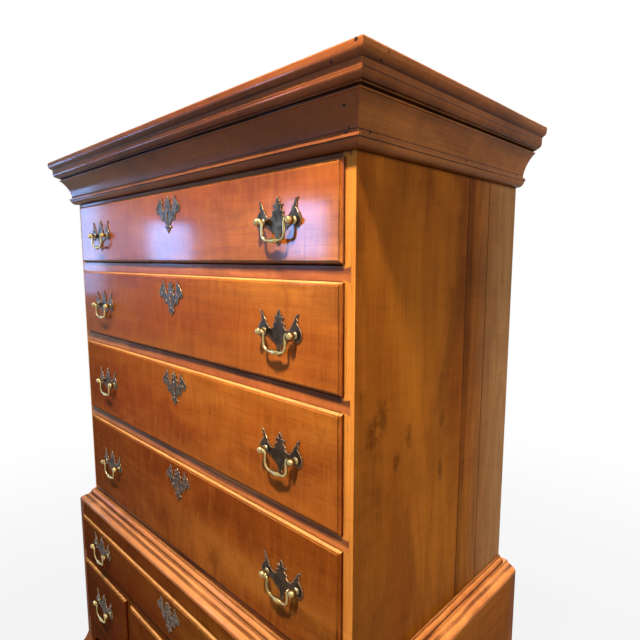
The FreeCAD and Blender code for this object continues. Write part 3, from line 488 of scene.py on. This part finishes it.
# How light the front of each drawer is painted, darker downwards as painted shade, how much varnish it
# keeps, and how much the wood shines. The low look, painted darkest, is that of every other piece of
# this wood.
FRONT_LOOKS = {
    "drawer_one_front": (0.96, 0.2, 0.025),
    "drawer_two_front": (0.88, 0.1, 0.01),
    "drawer_three_front": (0.83, 0.05, 0),
    "drawer_four_front": (0.62, 0.03, 0),
}
LOW_LOOK = (0.42, 0.015, 0)


def creases(node):
    """Dark lines along a moulding, at the crevices of its profile."""
    low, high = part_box(node)
    height = high[2] - low[2]
    return [("Z", low[2] + height * share, CREASE_HALF, CREASE_DARK) for share in CREASES[node]]


def quirk_lines(node):
    """Dark lines in the upright steps of a drawer front."""
    low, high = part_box(node)
    return [("X", at, QUIRK_HALF, CREASE_DARK) for at in (low[0] + QUIRK, high[0] - QUIRK)]


def lip_painted_shadows():
    """Bands of painted shadow on the upper rails, under the lip of each drawer."""
    bands = []
    for drawer, strength in LIP_PAINTED_SHADOWS.items():
        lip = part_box(f"drawer_{drawer}_front")[0][2]
        bands.append(("Z", lip - LIP_PAINTED_SHADOW_DROP, LIP_PAINTED_SHADOW_HALF, strength))
    return bands


def moulding_wood(label, name, seed):
    """The wood of the cornice, the waist moulding and the base strip."""
    if name == "cornice_front":
        return wood(
            label, "X", CROWN_FRONT, seed, roughness=FRONT_ROUGHNESS, grime_and_shade_strength=MOULDING_GRIME_AND_SHADE, sheen=0.02,
            streaks=creases(name), faces=CROWN_PAINTED_LIGHT, fades=[CORNER_PAINTED_LIGHT],
        )
    if name.startswith("cornice"):
        return wood(
            label, "Y", CROWN, seed, grime_and_shade_strength=MOULDING_GRIME_AND_SHADE, sheen=0.015, streaks=creases("cornice_front"),
            faces=CROWN_PAINTED_LIGHT,
        )
    return wood(
        label, "X", WAIST, seed, grime_and_shade_strength=MOULDING_GRIME_AND_SHADE, sheen=0.03, streaks=creases(name), faces=WAIST_PAINTED_LIGHT,
    )


def side_wood(label, name, seed):
    """The wood of the sides; only the upper right one has the knots and the first streak."""
    if name.startswith("lower"):
        return wood(label, "Y", SIDE, seed, coat=SIDE_COAT)
    streaks, knots = SIDE_STREAKS[1:], ()
    if name.endswith("right"):
        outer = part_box(name)[1][0]
        streaks, knots = SIDE_STREAKS, [(outer, *knot) for knot in SIDE_KNOTS]
    return wood(
        label, "Z", SIDE, seed, coat=SIDE_COAT, streaks=streaks, knots=knots, faces=[STILE_TONE_AND_PAINTED_LIGHT],
        fades=[BACK_PAINTED_REFLECTION],
    )


def front_wood(label, name, seed):
    """The wood of the drawer fronts, and of each piece that has no other wood."""
    share, coat, sheen = FRONT_LOOKS.get(name, LOW_LOOK)
    # Lower fronts get darker tones: painted shade.
    tones = [shade(tone, share) for tone in FRONT]
    lips, quirks = (LIP_FINISH_AND_PAINTED_LIGHT, quirk_lines(name)) if name.startswith("drawer") else ((), ())
    return wood(
        label, "X", tones, seed, roughness=FRONT_ROUGHNESS, curl=FRONT_CURL, coat=coat, sheen=sheen,
        streaks=quirks, faces=lips, fades=[(*LEFT_PAINTED_SHADE, shade(LEFT_PAINTED_SHADE_TONE, share))],
    )


def material_of(name, seed):
    """The material of a CAD node that stays."""
    label = f"{name}_wood"
    if name.endswith("_box") or name.endswith("runners"):
        return raw_wood(label, "Y", RAW, seed)
    if "back_board" in name or name == "upper_bottom_board":
        return raw_wood(label, "X", RAW, seed)
    if name.startswith(("upper_side", "lower_side")):
        return side_wood(label, name, seed)
    if name.startswith("cornice") or name in CREASES:
        return moulding_wood(label, name, seed)
    if name == "upper_rails":
        # Painted shadow under the drawer lips: the bands, and strong, wide darkening in the corners.
        return wood(
            label, "X", RAIL, seed, grime_and_shade_strength=1, coat=0.2, sheen=0.025, crevice=RAIL_CREVICE,
            streaks=lip_painted_shadows(),
        )
    return front_wood(label, name, seed)


def paint(name, material):
    mesh = nodes[name].data
    mesh.materials.clear()
    mesh.materials.append(material)
    for face in mesh.polygons:
        face.material_index = 0


def paint_the_woods():
    for seed, name in enumerate(sorted(nodes)):
        if "bail" not in name and not name.endswith("_brasses"):
            paint(name, material_of(name, seed))


# ---- mesh helpers ----

TO_FRONT = Matrix.Rotation(math.pi / 2, 3, "X")  # takes +Z to -Y
TO_RIGHT = Matrix.Rotation(math.pi / 2, 3, "Y")  # takes +Z to +X
TO_LEFT = Matrix.Rotation(-math.pi / 2, 3, "Y")  # takes +Z to -X


def piece(name, mesh, material, body, stands_for=()):
    """A new object that rides on a body of the frame, and that may stand for CAD nodes."""
    mesh.materials.clear()
    mesh.materials.append(material)
    item = bpy.data.objects.new(name, mesh)
    scene.collection.objects.link(item)
    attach(item, body)
    if stands_for:
        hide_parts(*stands_for)


def mesh_of(name, shape, smooth=True):
    """The mesh of a shape, which is then gone."""
    for face in shape.faces:
        face.smooth = smooth
    mesh = bpy.data.meshes.new(name)
    shape.to_mesh(mesh)
    shape.free()
    return mesh


def bridge(shape, rings, flip=False):
    """Faces from each ring of points to the next; flip makes them face the other way."""
    for first, second in zip(rings, rings[1:]):
        for number in range(len(first)):
            after = (number + 1) % len(first)
            others = [first[after], second[after], second[number]]
            shape.faces.new([first[number]] + (others[::-1] if flip else others))


def metres(profile):
    """A profile that is given in mm."""
    return [(along * MM, radius * MM) for along, radius in profile]


def lathe(shape, profile, place, turn, sides=28):
    """Turn a profile of (along, radius) about an axis; turn takes +Z to that axis at place."""
    rings = []
    for along, radius in profile:
        ring = []
        for number in range(sides):
            angle = 2 * math.pi * number / sides
            point = Vector((radius * math.cos(angle), radius * math.sin(angle), along))
            ring.append(shape.verts.new(place + turn @ point))
        rings.append(ring)
    bridge(shape, rings)
    shape.faces.new(list(reversed(rings[0])))
    shape.faces.new(rings[-1])


def join(shape, mesh, place):
    """Copy a template mesh into shape, moved to place."""
    start = len(shape.verts)
    shape.from_mesh(mesh)
    shape.verts.ensure_lookup_table()
    bmesh.ops.translate(shape, vec=place, verts=shape.verts[start:])


def curve_mesh(name, curve):
    """The mesh of a curve, which is then gone."""
    item = bpy.data.objects.new(name, curve)
    scene.collection.objects.link(item)
    bpy.context.view_layer.update()
    mesh = bpy.data.meshes.new_from_object(item.evaluated_get(bpy.context.evaluated_depsgraph_get()))
    bpy.data.objects.remove(item)
    mesh.name = name
    return mesh


# ---- the brasses ----

# The right-hand halves of two outlines in mm, from the top point down to the bottom point. A 1 marks a
# sharp corner.
BATWING = [
    (0, 37.5, 1), (3, 33, 0), (4.6, 29.5, 0), (2.6, 26.2, 1), (6.5, 27.2, 0), (11.6, 25.6, 1),
    (8, 22.2, 0), (6.4, 19.2, 1), (9.6, 18.2, 0), (13.8, 15.8, 1), (11.6, 12.8, 0), (12.2, 10, 1),
    (16, 8.4, 0), (21.4, 8.2, 0), (25.8, 13, 1), (28.6, 14.8, 0), (29.6, 19.6, 1), (33, 22.6, 0),
    (35.8, 28, 0), (39.2, 32.4, 0), (44, 33.9, 1), (42, 30.4, 0), (39.6, 26.4, 1), (41.4, 23.2, 0),
    (38.6, 19.4, 1), (42.2, 16, 0), (46.8, 10.4, 0), (49.2, 4, 0), (48.2, -2, 0), (44.4, -6.8, 0),
    (39.6, -8.6, 0), (34.8, -7, 1), (31.8, -3.8, 0), (27.6, -3.2, 0), (24.8, -5.6, 1), (21.8, -5.6, 0),
    (18, -9.8, 1), (14.8, -9.8, 0), (11.6, -14.2, 1), (8.8, -13.6, 0), (6.8, -17, 1), (5.2, -17.4, 0),
    (4.2, -22, 0), (2.6, -24.6, 1), (4.6, -26.6, 0), (3, -29.4, 0), (0, -32.5, 1),
]
KEY_WING = [
    (0, 35, 1), (3, 31.5, 0), (3.2, 27.8, 1), (6.6, 29.4, 0), (10.6, 28.6, 1), (7, 24, 0), (6.2, 20.6, 1),
    (9.8, 20.6, 0), (14, 18, 1), (10, 14.6, 0), (8.8, 12, 1), (13.2, 8.2, 0), (17.4, 12.6, 0),
    (20.2, 20.6, 0), (22.4, 28.4, 0), (25.2, 33, 0), (29.6, 34.6, 1), (28.2, 30, 0), (32.6, 26.6, 0),
    (38.8, 20.2, 0), (43.6, 13.6, 0), (43, 7.8, 0), (37.8, 4, 0), (34.2, 5.6, 1), (30, 4.2, 0),
    (27, -0.8, 0), (25.4, -6, 0), (20.6, -9.8, 1), (17.4, -6.8, 0), (13, -8.8, 1), (11.2, -14, 0),
    (7, -17.6, 0), (8.2, -20.4, 1), (12.2, -21.8, 0), (8.4, -24.4, 1), (4, -24.8, 0), (3, -28.6, 0),
    (0, -33, 1),
]
PLATE_SINK = 2  # the line of the posts over the line that the outlines are drawn from
ESCUTCHEON_DROP = 46.5  # from the top of the drawer front to that line
PLATE_THICK = 1.8
PLATE_BEVEL = 0.35
PLATE_STEPS = 4  # the resolution of a curved outline
KEYHOLE = [(-1.9, -9.6), (1.9, -9.6), (1.9, 0), (3.2, 2.6), (1.9, 6), (-1.9, 6), (-3.2, 2.6), (-1.9, 0)]
# Round holes through the escutcheon: (across, up, radius), in mm.
PIERCED = [
    (-33, 13, 2.1), (33, 13, 2.1), (-24, 11, 1.5), (24, 11, 1.5), (-26, 21, 1.3), (26, 21, 1.3),
    (-17, -1.5, 1.7), (17, -1.5, 1.7), (0, 24, 1.4), (0, 14, 1.6), (0, -16, 1.5),
]
QUARTERS = (0, 1.57, 3.14, 4.71)  # the angles of the four points of a round hole
HALF_BORING = 35
# A post turned about its axis: (height over the drawer face, radius), in mm.
POST = [
    (1.4, 5.6), (2.2, 5.5), (2.7, 4.6), (3.3, 3.5), (4.4, 3.0), (5.3, 3.3), (6, 4.6), (7.2, 5.3),
    (8.8, 5.75), (11, 5.85), (13, 5.6), (14.8, 4.7), (16, 3.2), (16.7, 1.4), (16.8, 0.2),
]
# Half of the middle line of a bail from its axis, with its radius: (across, up, radius), in mm.
BAIL = [
    (28.9, 0, 2.3), (27.6, 0, 2.4), (26, -0.2, 2.4), (24.6, -1.4, 2.3), (23.7, -4.4, 2.2),
    (24.2, -9.4, 2.1), (24.7, -14.6, 2.15), (24.3, -20, 2.2), (21.2, -25, 2.25), (16, -27, 2.15),
    (12, -27.3, 2.1), (9.4, -27.4, 2.6), (6.6, -27.6, 3.4), (3.4, -27.8, 4), (1, -27.8, 4.1),
]
BAIL_STEPS = 6  # the resolution of a bail, along it and round it
# The beads of a bail beside the head, from the inner side out: (distance from the middle, radius), in mm.
BEADS = [(25.2, 2.2), (25.6, 3.2), (26.3, 4), (27.3, 4.45), (28.3, 4.3), (28.9, 3.7), (29, 2.6)]
PLATE_LOOK = {
    "bright": srgb(74, 55, 37), "dull": srgb(34, 25, 16), "tarnish": 0.8, "roughness": 0.36, "pitted": 0.4,
    "rim_highlight": 1.0, "edge_width": 2 * MM,
}
POST_LOOK = {
    "bright": srgb(188, 160, 100), "dull": srgb(78, 60, 32), "tarnish": 0.5, "roughness": 0.26,
    "pitted": 0.1, "rim_highlight": 0.2, "edge_width": 0.5 * MM,
}


def outline_spline(curve, points, steps):
    """A closed outline through (x, y, sharp) points in mm: smooth but for the sharp corners."""
    spline = curve.splines.new("BEZIER")
    spline.bezier_points.add(len(points) - 1)
    for knot, (x, y, sharp) in zip(spline.bezier_points, points):
        knot.co = (x * MM, y * MM, 0)
        kind = "VECTOR" if sharp else "AUTO"
        knot.handle_left_type = kind
        knot.handle_right_type = kind
    spline.use_cyclic_u = True
    spline.resolution_u = steps


def plate_mesh(name, half, holes=(), keyhole=False):
    """A thin plate with softened edges, standing in front of the origin and facing -Y."""
    image = [(-x, y, sharp) for x, y, sharp in reversed(half[1:-1])]
    curve = bpy.data.curves.new(name, "CURVE")
    curve.dimensions = "2D"
    curve.fill_mode = "BOTH"
    outline_spline(curve, half + image, PLATE_STEPS)
    for x, y, radius in holes:
        ring = [(x + radius * math.cos(angle), y + radius * math.sin(angle), 0) for angle in QUARTERS]
        outline_spline(curve, ring, PLATE_STEPS)
    if keyhole:
        outline_spline(curve, [(x, y, 1) for x, y in KEYHOLE], 1)
    curve.extrude = (PLATE_THICK / 2 - PLATE_BEVEL) * MM
    curve.bevel_depth = PLATE_BEVEL * MM
    curve.bevel_resolution = 1
    curve.offset = -PLATE_BEVEL * MM
    mesh = curve_mesh(name, curve)
    mesh.transform(TO_FRONT.to_4x4())
    mesh.transform(Matrix.Translation((0, -PLATE_THICK / 2 * MM, 0)))
    return mesh


def bail_mesh(name, pivot):
    """A swelled and bent rod with two beads at each end, hanging from its axis at pivot."""
    curve = bpy.data.curves.new(name, "CURVE")
    curve.dimensions = "3D"
    curve.bevel_depth = MM  # for a point with the radius 1, so that the radii are in mm
    curve.bevel_resolution = BAIL_STEPS
    curve.resolution_u = BAIL_STEPS
    curve.use_fill_caps = True
    rod = BAIL + [(-x, z, radius) for x, z, radius in reversed(BAIL)]
    spline = curve.splines.new("NURBS")
    spline.points.add(len(rod) - 1)
    for point, (x, z, radius) in zip(spline.points, rod):
        point.co = (x * MM, 0, z * MM, 1)
        point.radius = radius
    spline.order_u = 4  # cubic
    spline.use_endpoint_u = True
    shape = bmesh.new()
    shape.from_mesh(curve_mesh(name, curve))
    bmesh.ops.translate(shape, vec=pivot, verts=shape.verts[:])
    for turn in (TO_RIGHT, TO_LEFT):
        lathe(shape, metres(BEADS), pivot, turn)
    return mesh_of(name, shape)


def make_brasses():
    plate_metal = metal("plate_brass", **PLATE_LOOK)
    post_metal = metal("post_brass", **POST_LOOK)
    pull_plate = plate_mesh("pull_plate", BATWING)
    key_plate = plate_mesh("key_plate", KEY_WING, PIERCED, keyhole=True)
    pulls = {}
    for joint in frame["joints"]:
        if joint["type"] == "hinge":
            pulls.setdefault(joint["parent"], []).append((joint["child"], Vector(joint["pos_m"])))
    for drawer, hung in sorted(pulls.items()):
        low, high = (Vector(corner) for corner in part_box(f"{drawer}_front"))
        plates = bmesh.new()
        posts = bmesh.new()
        for bail, pivot in hung:
            foot = Vector((pivot.x, low.y, pivot.z))
            join(plates, pull_plate, foot - Vector((0, 0, PLATE_SINK * MM)))
            for hand in (-1, 1):
                at = foot + Vector((HALF_BORING * MM * hand, 0, 0))
                lathe(posts, metres(POST), at, TO_FRONT)
            piece(bail, bail_mesh(f"{bail}_rod", pivot), post_metal, bail, [bail])
        if len(hung) > 1:
            middle = Vector(((low.x + high.x) / 2, low.y, high.z - ESCUTCHEON_DROP * MM))
            join(plates, key_plate, middle)
        brasses = [f"{drawer}_brasses"]
        plates = mesh_of(f"{drawer}_plates", plates, smooth=False)
        posts = mesh_of(f"{drawer}_posts", posts)
        piece(f"{drawer}_plates", plates, plate_metal, drawer, brasses)
        piece(f"{drawer}_posts", posts, post_metal, drawer, brasses)


# ---- the legs ----

POST_HALF = 16.5
POST_INSIDE = POST_HALF - 0.25  # so that what is let into the post stands a little proud of it
POST_CORNER = 1.2
POST_LOW = 551
POST_LAP = 3  # from the top of the leg to the foot of the square post
ANKLE = 13
KNEE = 43.5
# Stations down a leg: (height, reach out, reach in, corner radius), in mm.
LEG = [
    (POST_LOW, POST_HALF, POST_HALF, 1.6),
    (529, POST_HALF * 1.55, POST_HALF, 6),
    (496, KNEE * 0.98, POST_HALF * 0.93, 14),
    (446, KNEE * 0.96, POST_HALF * 0.68, 16),
    (364, KNEE * 0.7, POST_HALF * 0.52, 14),
    (259, ANKLE * 1.3, ANKLE * 0.75, 11.5),
    (154, ANKLE * 0.88, ANKLE * 0.98, 11),
    (72, ANKLE * 0.87, ANKLE * 1.15, 12),
    (30, ANKLE * 1.4, ANKLE * 1.25, 16),
    (20, ANKLE * 1.8, ANKLE * 1.6, 20),
]
LEG_STEPS = 6  # rings from one station to the next
CORNER_POINTS = 7
# The pad foot turned about its axis: (height, radius), in mm.
FOOT = [
    (0, 25), (1, 29), (4, 33.5), (9, 37), (14, 37.6), (19, 36), (24, 31.5), (28, 26), (31, 21), (33, 14),
]
FOOT_OUT = 2  # from the middle of the post to the middle of the foot, along X and along Y
FOOT_SIDES = 48
CREASE_ANGLE = math.radians(40)
LEG_SEED = 30  # of the first pair, for the noises of the wood


def between(before, low, high, after, share):
    """A point on the smooth curve through low and high that its neighbours shape."""
    bend = 2 * before - 5 * low + 4 * high - after + share * (3 * (low - high) + after - before)
    return low + 0.5 * share * (high - before + share * bend)


def leg_stations():
    """The rings of the leg from the post down, as stations."""
    padded = [LEG[0], *LEG, LEG[-1]]
    rings = []
    for index in range(1, len(LEG)):
        around = list(zip(*padded[index - 1:index + 3]))
        for step in range(LEG_STEPS):
            rings.append([between(*values, step / LEG_STEPS) for values in around])
    return rings + [LEG[-1]]


def rounded_square(height, out, inward, radius):
    """Points round a square that reaches out towards -X and -Y, with round corners."""
    radius = min(radius, (out + inward) / 2)
    corners = [(-out, -out), (inward, -out), (inward, inward), (-out, inward)]
    points = []
    for quarter, (x, y) in enumerate(corners):
        centre_x = x + radius * (1 if x < 0 else -1)
        centre_y = y + radius * (1 if y < 0 else -1)
        for step in range(CORNER_POINTS):
            angle = math.pi + (quarter + step / (CORNER_POINTS - 1)) * math.pi / 2
            across = centre_x + radius * math.cos(angle)
            points.append(Vector((across, centre_y + radius * math.sin(angle), height)))
    return points


def leg_mesh(name, x, y, hand_x, hand_y):
    """A post at x, y with a cabriole leg and a pad foot; the hands are the signs of its outward sides."""
    shape = bmesh.new()
    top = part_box("leg_front_left")[1][2] / MM
    square = [(height, POST_INSIDE, POST_INSIDE, POST_CORNER) for height in (top, POST_LOW + POST_LAP)]
    rings = [rounded_square(*station) for station in square + leg_stations()]
    made = [[shape.verts.new(point) for point in ring] for ring in rings]
    bridge(shape, made, flip=True)
    shape.faces.new(made[0])
    lathe(shape, FOOT, Vector((-FOOT_OUT, -FOOT_OUT, 0)), Matrix.Identity(3), sides=FOOT_SIDES)
    mirrored = Matrix.Diagonal((MM * -hand_x, MM * -hand_y, MM, 1))
    bmesh.ops.transform(shape, matrix=mirrored, verts=shape.verts[:])
    bmesh.ops.translate(shape, vec=(x, y, 0), verts=shape.verts[:])
    bmesh.ops.recalc_face_normals(shape, faces=shape.faces[:])
    mesh = mesh_of(name, shape)
    mesh.set_sharp_from_angle(angle=CREASE_ANGLE)
    return mesh


def make_legs():
    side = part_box("lower_side_right")[1][0] - POST_HALF * MM
    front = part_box("lower_rails")[0][1] + POST_HALF * MM
    for number, (end, hand_y) in enumerate((("front", -1), ("rear", 1))):
        for name, hand_x in (("left", -1), ("right", 1)):
            node = f"leg_{end}_{name}"
            mesh = leg_mesh(node, side * hand_x, -front * hand_y, hand_x, hand_y)
            material = wood(f"{node}_finish", "Z", LEG_TONES, number * 2 + hand_x + LEG_SEED)
            piece(f"{node}_carved", mesh, material, "case", [node])


# ---- the camera, and the nail heads of the cornice at the pixels where it sees them ----

PICTURE = 640
SENSOR = 36  # in mm
FOCAL = 491.97  # in pixels
YAW = math.radians(44.47)
PITCH = math.radians(7.09)
EYE = Vector((0.86495, -0.70644, 1.59043))
# The nail heads of each piece: (pixel across, pixel down, radius in mm).
NAIL_PIXELS = {
    "cornice_front": [(356, 39, 2.4), (344, 105, 2.2), (349, 128, 1.6), (346, 133, 2.2), (331, 62, 1.8)],
    "cornice_right": [(381, 60, 2), (370, 132, 2.2), (466, 161, 2), (517, 175, 2), (389, 52, 1.4)],
}
# A nail head from its sunk edge to its middle: (height over the wood in mm, share of its radius).
NAIL_RIM = [(-0.6, 0.9), (0.12, 1), (0.2, 0.8), (0.06, 0.5)]
NAIL_MIDDLE = (0.02, 0.1)  # both in mm
NAIL_SIDES = 9


def make_camera():
    data = bpy.data.cameras.new("camera")
    data.sensor_width = SENSOR
    data.lens = SENSOR * FOCAL / PICTURE
    item = bpy.data.objects.new("camera", data)
    item.location = EYE
    item.rotation_euler = (math.pi / 2 - PITCH, 0, YAW)
    scene.collection.objects.link(item)
    scene.camera = item
    bpy.context.view_layer.update()
    return item


def make_nails(camera):
    """Small sunk heads, set on the moulding where the camera sees them."""
    shape = bmesh.new()
    look = camera.matrix_world.to_3x3()
    for node, marks in NAIL_PIXELS.items():
        for across, down, size in marks:
            ray = look @ Vector(((across - PICTURE / 2) / FOCAL, (PICTURE / 2 - down) / FOCAL, -1))
            found, spot, normal, _ = nodes[node].ray_cast(EYE, ray.normalized())
            if found:
                turn = normal.to_track_quat("Z", "Y").to_matrix()
                profile = [(along, size * share) for along, share in NAIL_RIM] + [NAIL_MIDDLE]
                lathe(shape, metres(profile), spot, turn, sides=NAIL_SIDES)
    mesh = mesh_of("cornice_nails", shape, smooth=False)
    piece("cornice_nails", mesh, iron(), "case")


# ---- the studio ----

# Each lamp: name, place, the point it looks at, (width, height) in m, power in W, colour, and for a
# narrow beam its spread in degrees. The bluish ones are what the first drawer mirrors as windows.
LAMPS = [
    ("key", (0.76, -1.25, 3.7), (0.38, -0.23, 1.62), (0.18, 0.18), 7.8, (1, 0.93, 0.84), 40),
    ("key_left", (-0.4, -1.15, 3.5), (-0.22, -0.23, 1.55), (0.16, 0.16), 1.4, (1, 0.91, 0.8), 36),
    ("front", (0.9, -2.6, 1.4), (0.2, -0.25, 1.7), (0.8, 0.8), 4.5, (1, 0.9, 0.78)),
    ("window_left", (-3.4, -1.35, 1.7), (-0.3, -0.2, 1.65), (0.2, 0.8), 13, (0.26, 0.48, 1)),
    ("window_middle", (-3.93, -2.4, 1.76), (0, -0.23, 1.62), (0.4, 0.4), 25, (0.1, 0.42, 1)),
    ("window_right", (-2.4, -2.9, 1.85), (0.3, -0.2, 1.6), (0.36, 0.5), 46, (0.18, 0.44, 1)),
    ("side", (2.8, -0.5, 2.3), (0.4, 0, 1.45), (1.2, 1.6), 32, (1, 0.94, 0.86)),
    ("left", (-2.8, 1.0, 2.0), (-0.4, 0, 1.2), (1.4, 1.4), 36, (1, 0.94, 0.86)),
    ("rear", (-0.3, 3.0, 2.4), (0, 0.2, 1.0), (1.8, 1.8), 48, (1, 0.96, 0.9)),
]
FILL = 0.08
FILL_COLOUR = (1, 0.98, 0.96)
FLOOR_SIZE = 80
FLOOR_DROP = 0.5 * MM
FLOOR_GREY = 0.45
FLOOR_WHITE = (1.2, 4.0, 0.85, 1.0)  # (near, far, share of plain white when near, share when far)


def lamp(name, place, aim, size, power, colour, spread=180):
    data = bpy.data.lights.new(name, "AREA")
    data.shape = "RECTANGLE"
    data.size, data.size_y = size
    data.energy = power
    data.color = colour
    data.spread = math.radians(spread)
    item = bpy.data.objects.new(name, data)
    item.location = place
    item.rotation_euler = (Vector(aim) - Vector(place)).to_track_quat("-Z", "Y").to_euler()
    scene.collection.objects.link(item)


def seen_directly(tree):
    """A socket that is 1 for camera, glossy and transmission rays, and 0 for the rest."""
    paths = tree.nodes.new("ShaderNodeLightPath")
    total = paths.outputs["Is Camera Ray"]
    for name in ("Is Glossy Ray", "Is Transmission Ray"):
        either = tree.nodes.new("ShaderNodeMath")
        either.operation = "MAXIMUM"
        tree.links.new(total, either.inputs[0])
        tree.links.new(paths.outputs[name], either.inputs[1])
        total = either.outputs[0]
    return total


def make_world():
    """White to the eye and in reflections, and a faint warm fill for the rest of the light."""
    world = bpy.data.worlds.new("studio")
    scene.world = world
    world.use_nodes = True
    tree = world.node_tree
    tree.nodes.clear()
    glow = tree.nodes.new("ShaderNodeBackground")
    glow.inputs[0].default_value = (*FILL_COLOUR, 1)
    glow.inputs[1].default_value = FILL
    plain = tree.nodes.new("ShaderNodeBackground")
    plain.inputs[0].default_value = (1, 1, 1, 1)
    mix = tree.nodes.new("ShaderNodeMixShader")
    out = tree.nodes.new("ShaderNodeOutputWorld")
    tree.links.new(seen_directly(tree), mix.inputs[0])
    tree.links.new(glow.outputs[0], mix.inputs[1])
    tree.links.new(plain.outputs[0], mix.inputs[2])
    tree.links.new(mix.outputs[0], out.inputs[0])


def make_floor():
    """A pale floor that keeps the shadow near the object and turns plain white further out."""
    bpy.ops.mesh.primitive_plane_add(size=FLOOR_SIZE, location=(0, 0, -FLOOR_DROP))
    floor = bpy.context.object
    floor.name = "floor"
    t = Tree("floor_paint")
    reach = t.vector("LENGTH", t.add("TexCoord", out="Object"), (0, 0, 0), out="Value")
    share = t.math("MULTIPLY", t.span(reach, *FLOOR_WHITE), seen_directly(t.tree))
    matte = t.add("BsdfDiffuse", Color=(FLOOR_GREY, FLOOR_GREY, FLOOR_GREY, 1))
    white = t.add("Emission", Strength=1.0)
    t.add("OutputMaterial", Surface=t.add("MixShader", i0=share, i1=matte, i2=white))
    floor.data.materials.append(t.material)


paint_the_woods()
make_brasses()
make_legs()
make_nails(make_camera())
make_world()
make_floor()
for look in LAMPS:
    lamp(*look)
scene.view_settings.view_transform = "Standard"
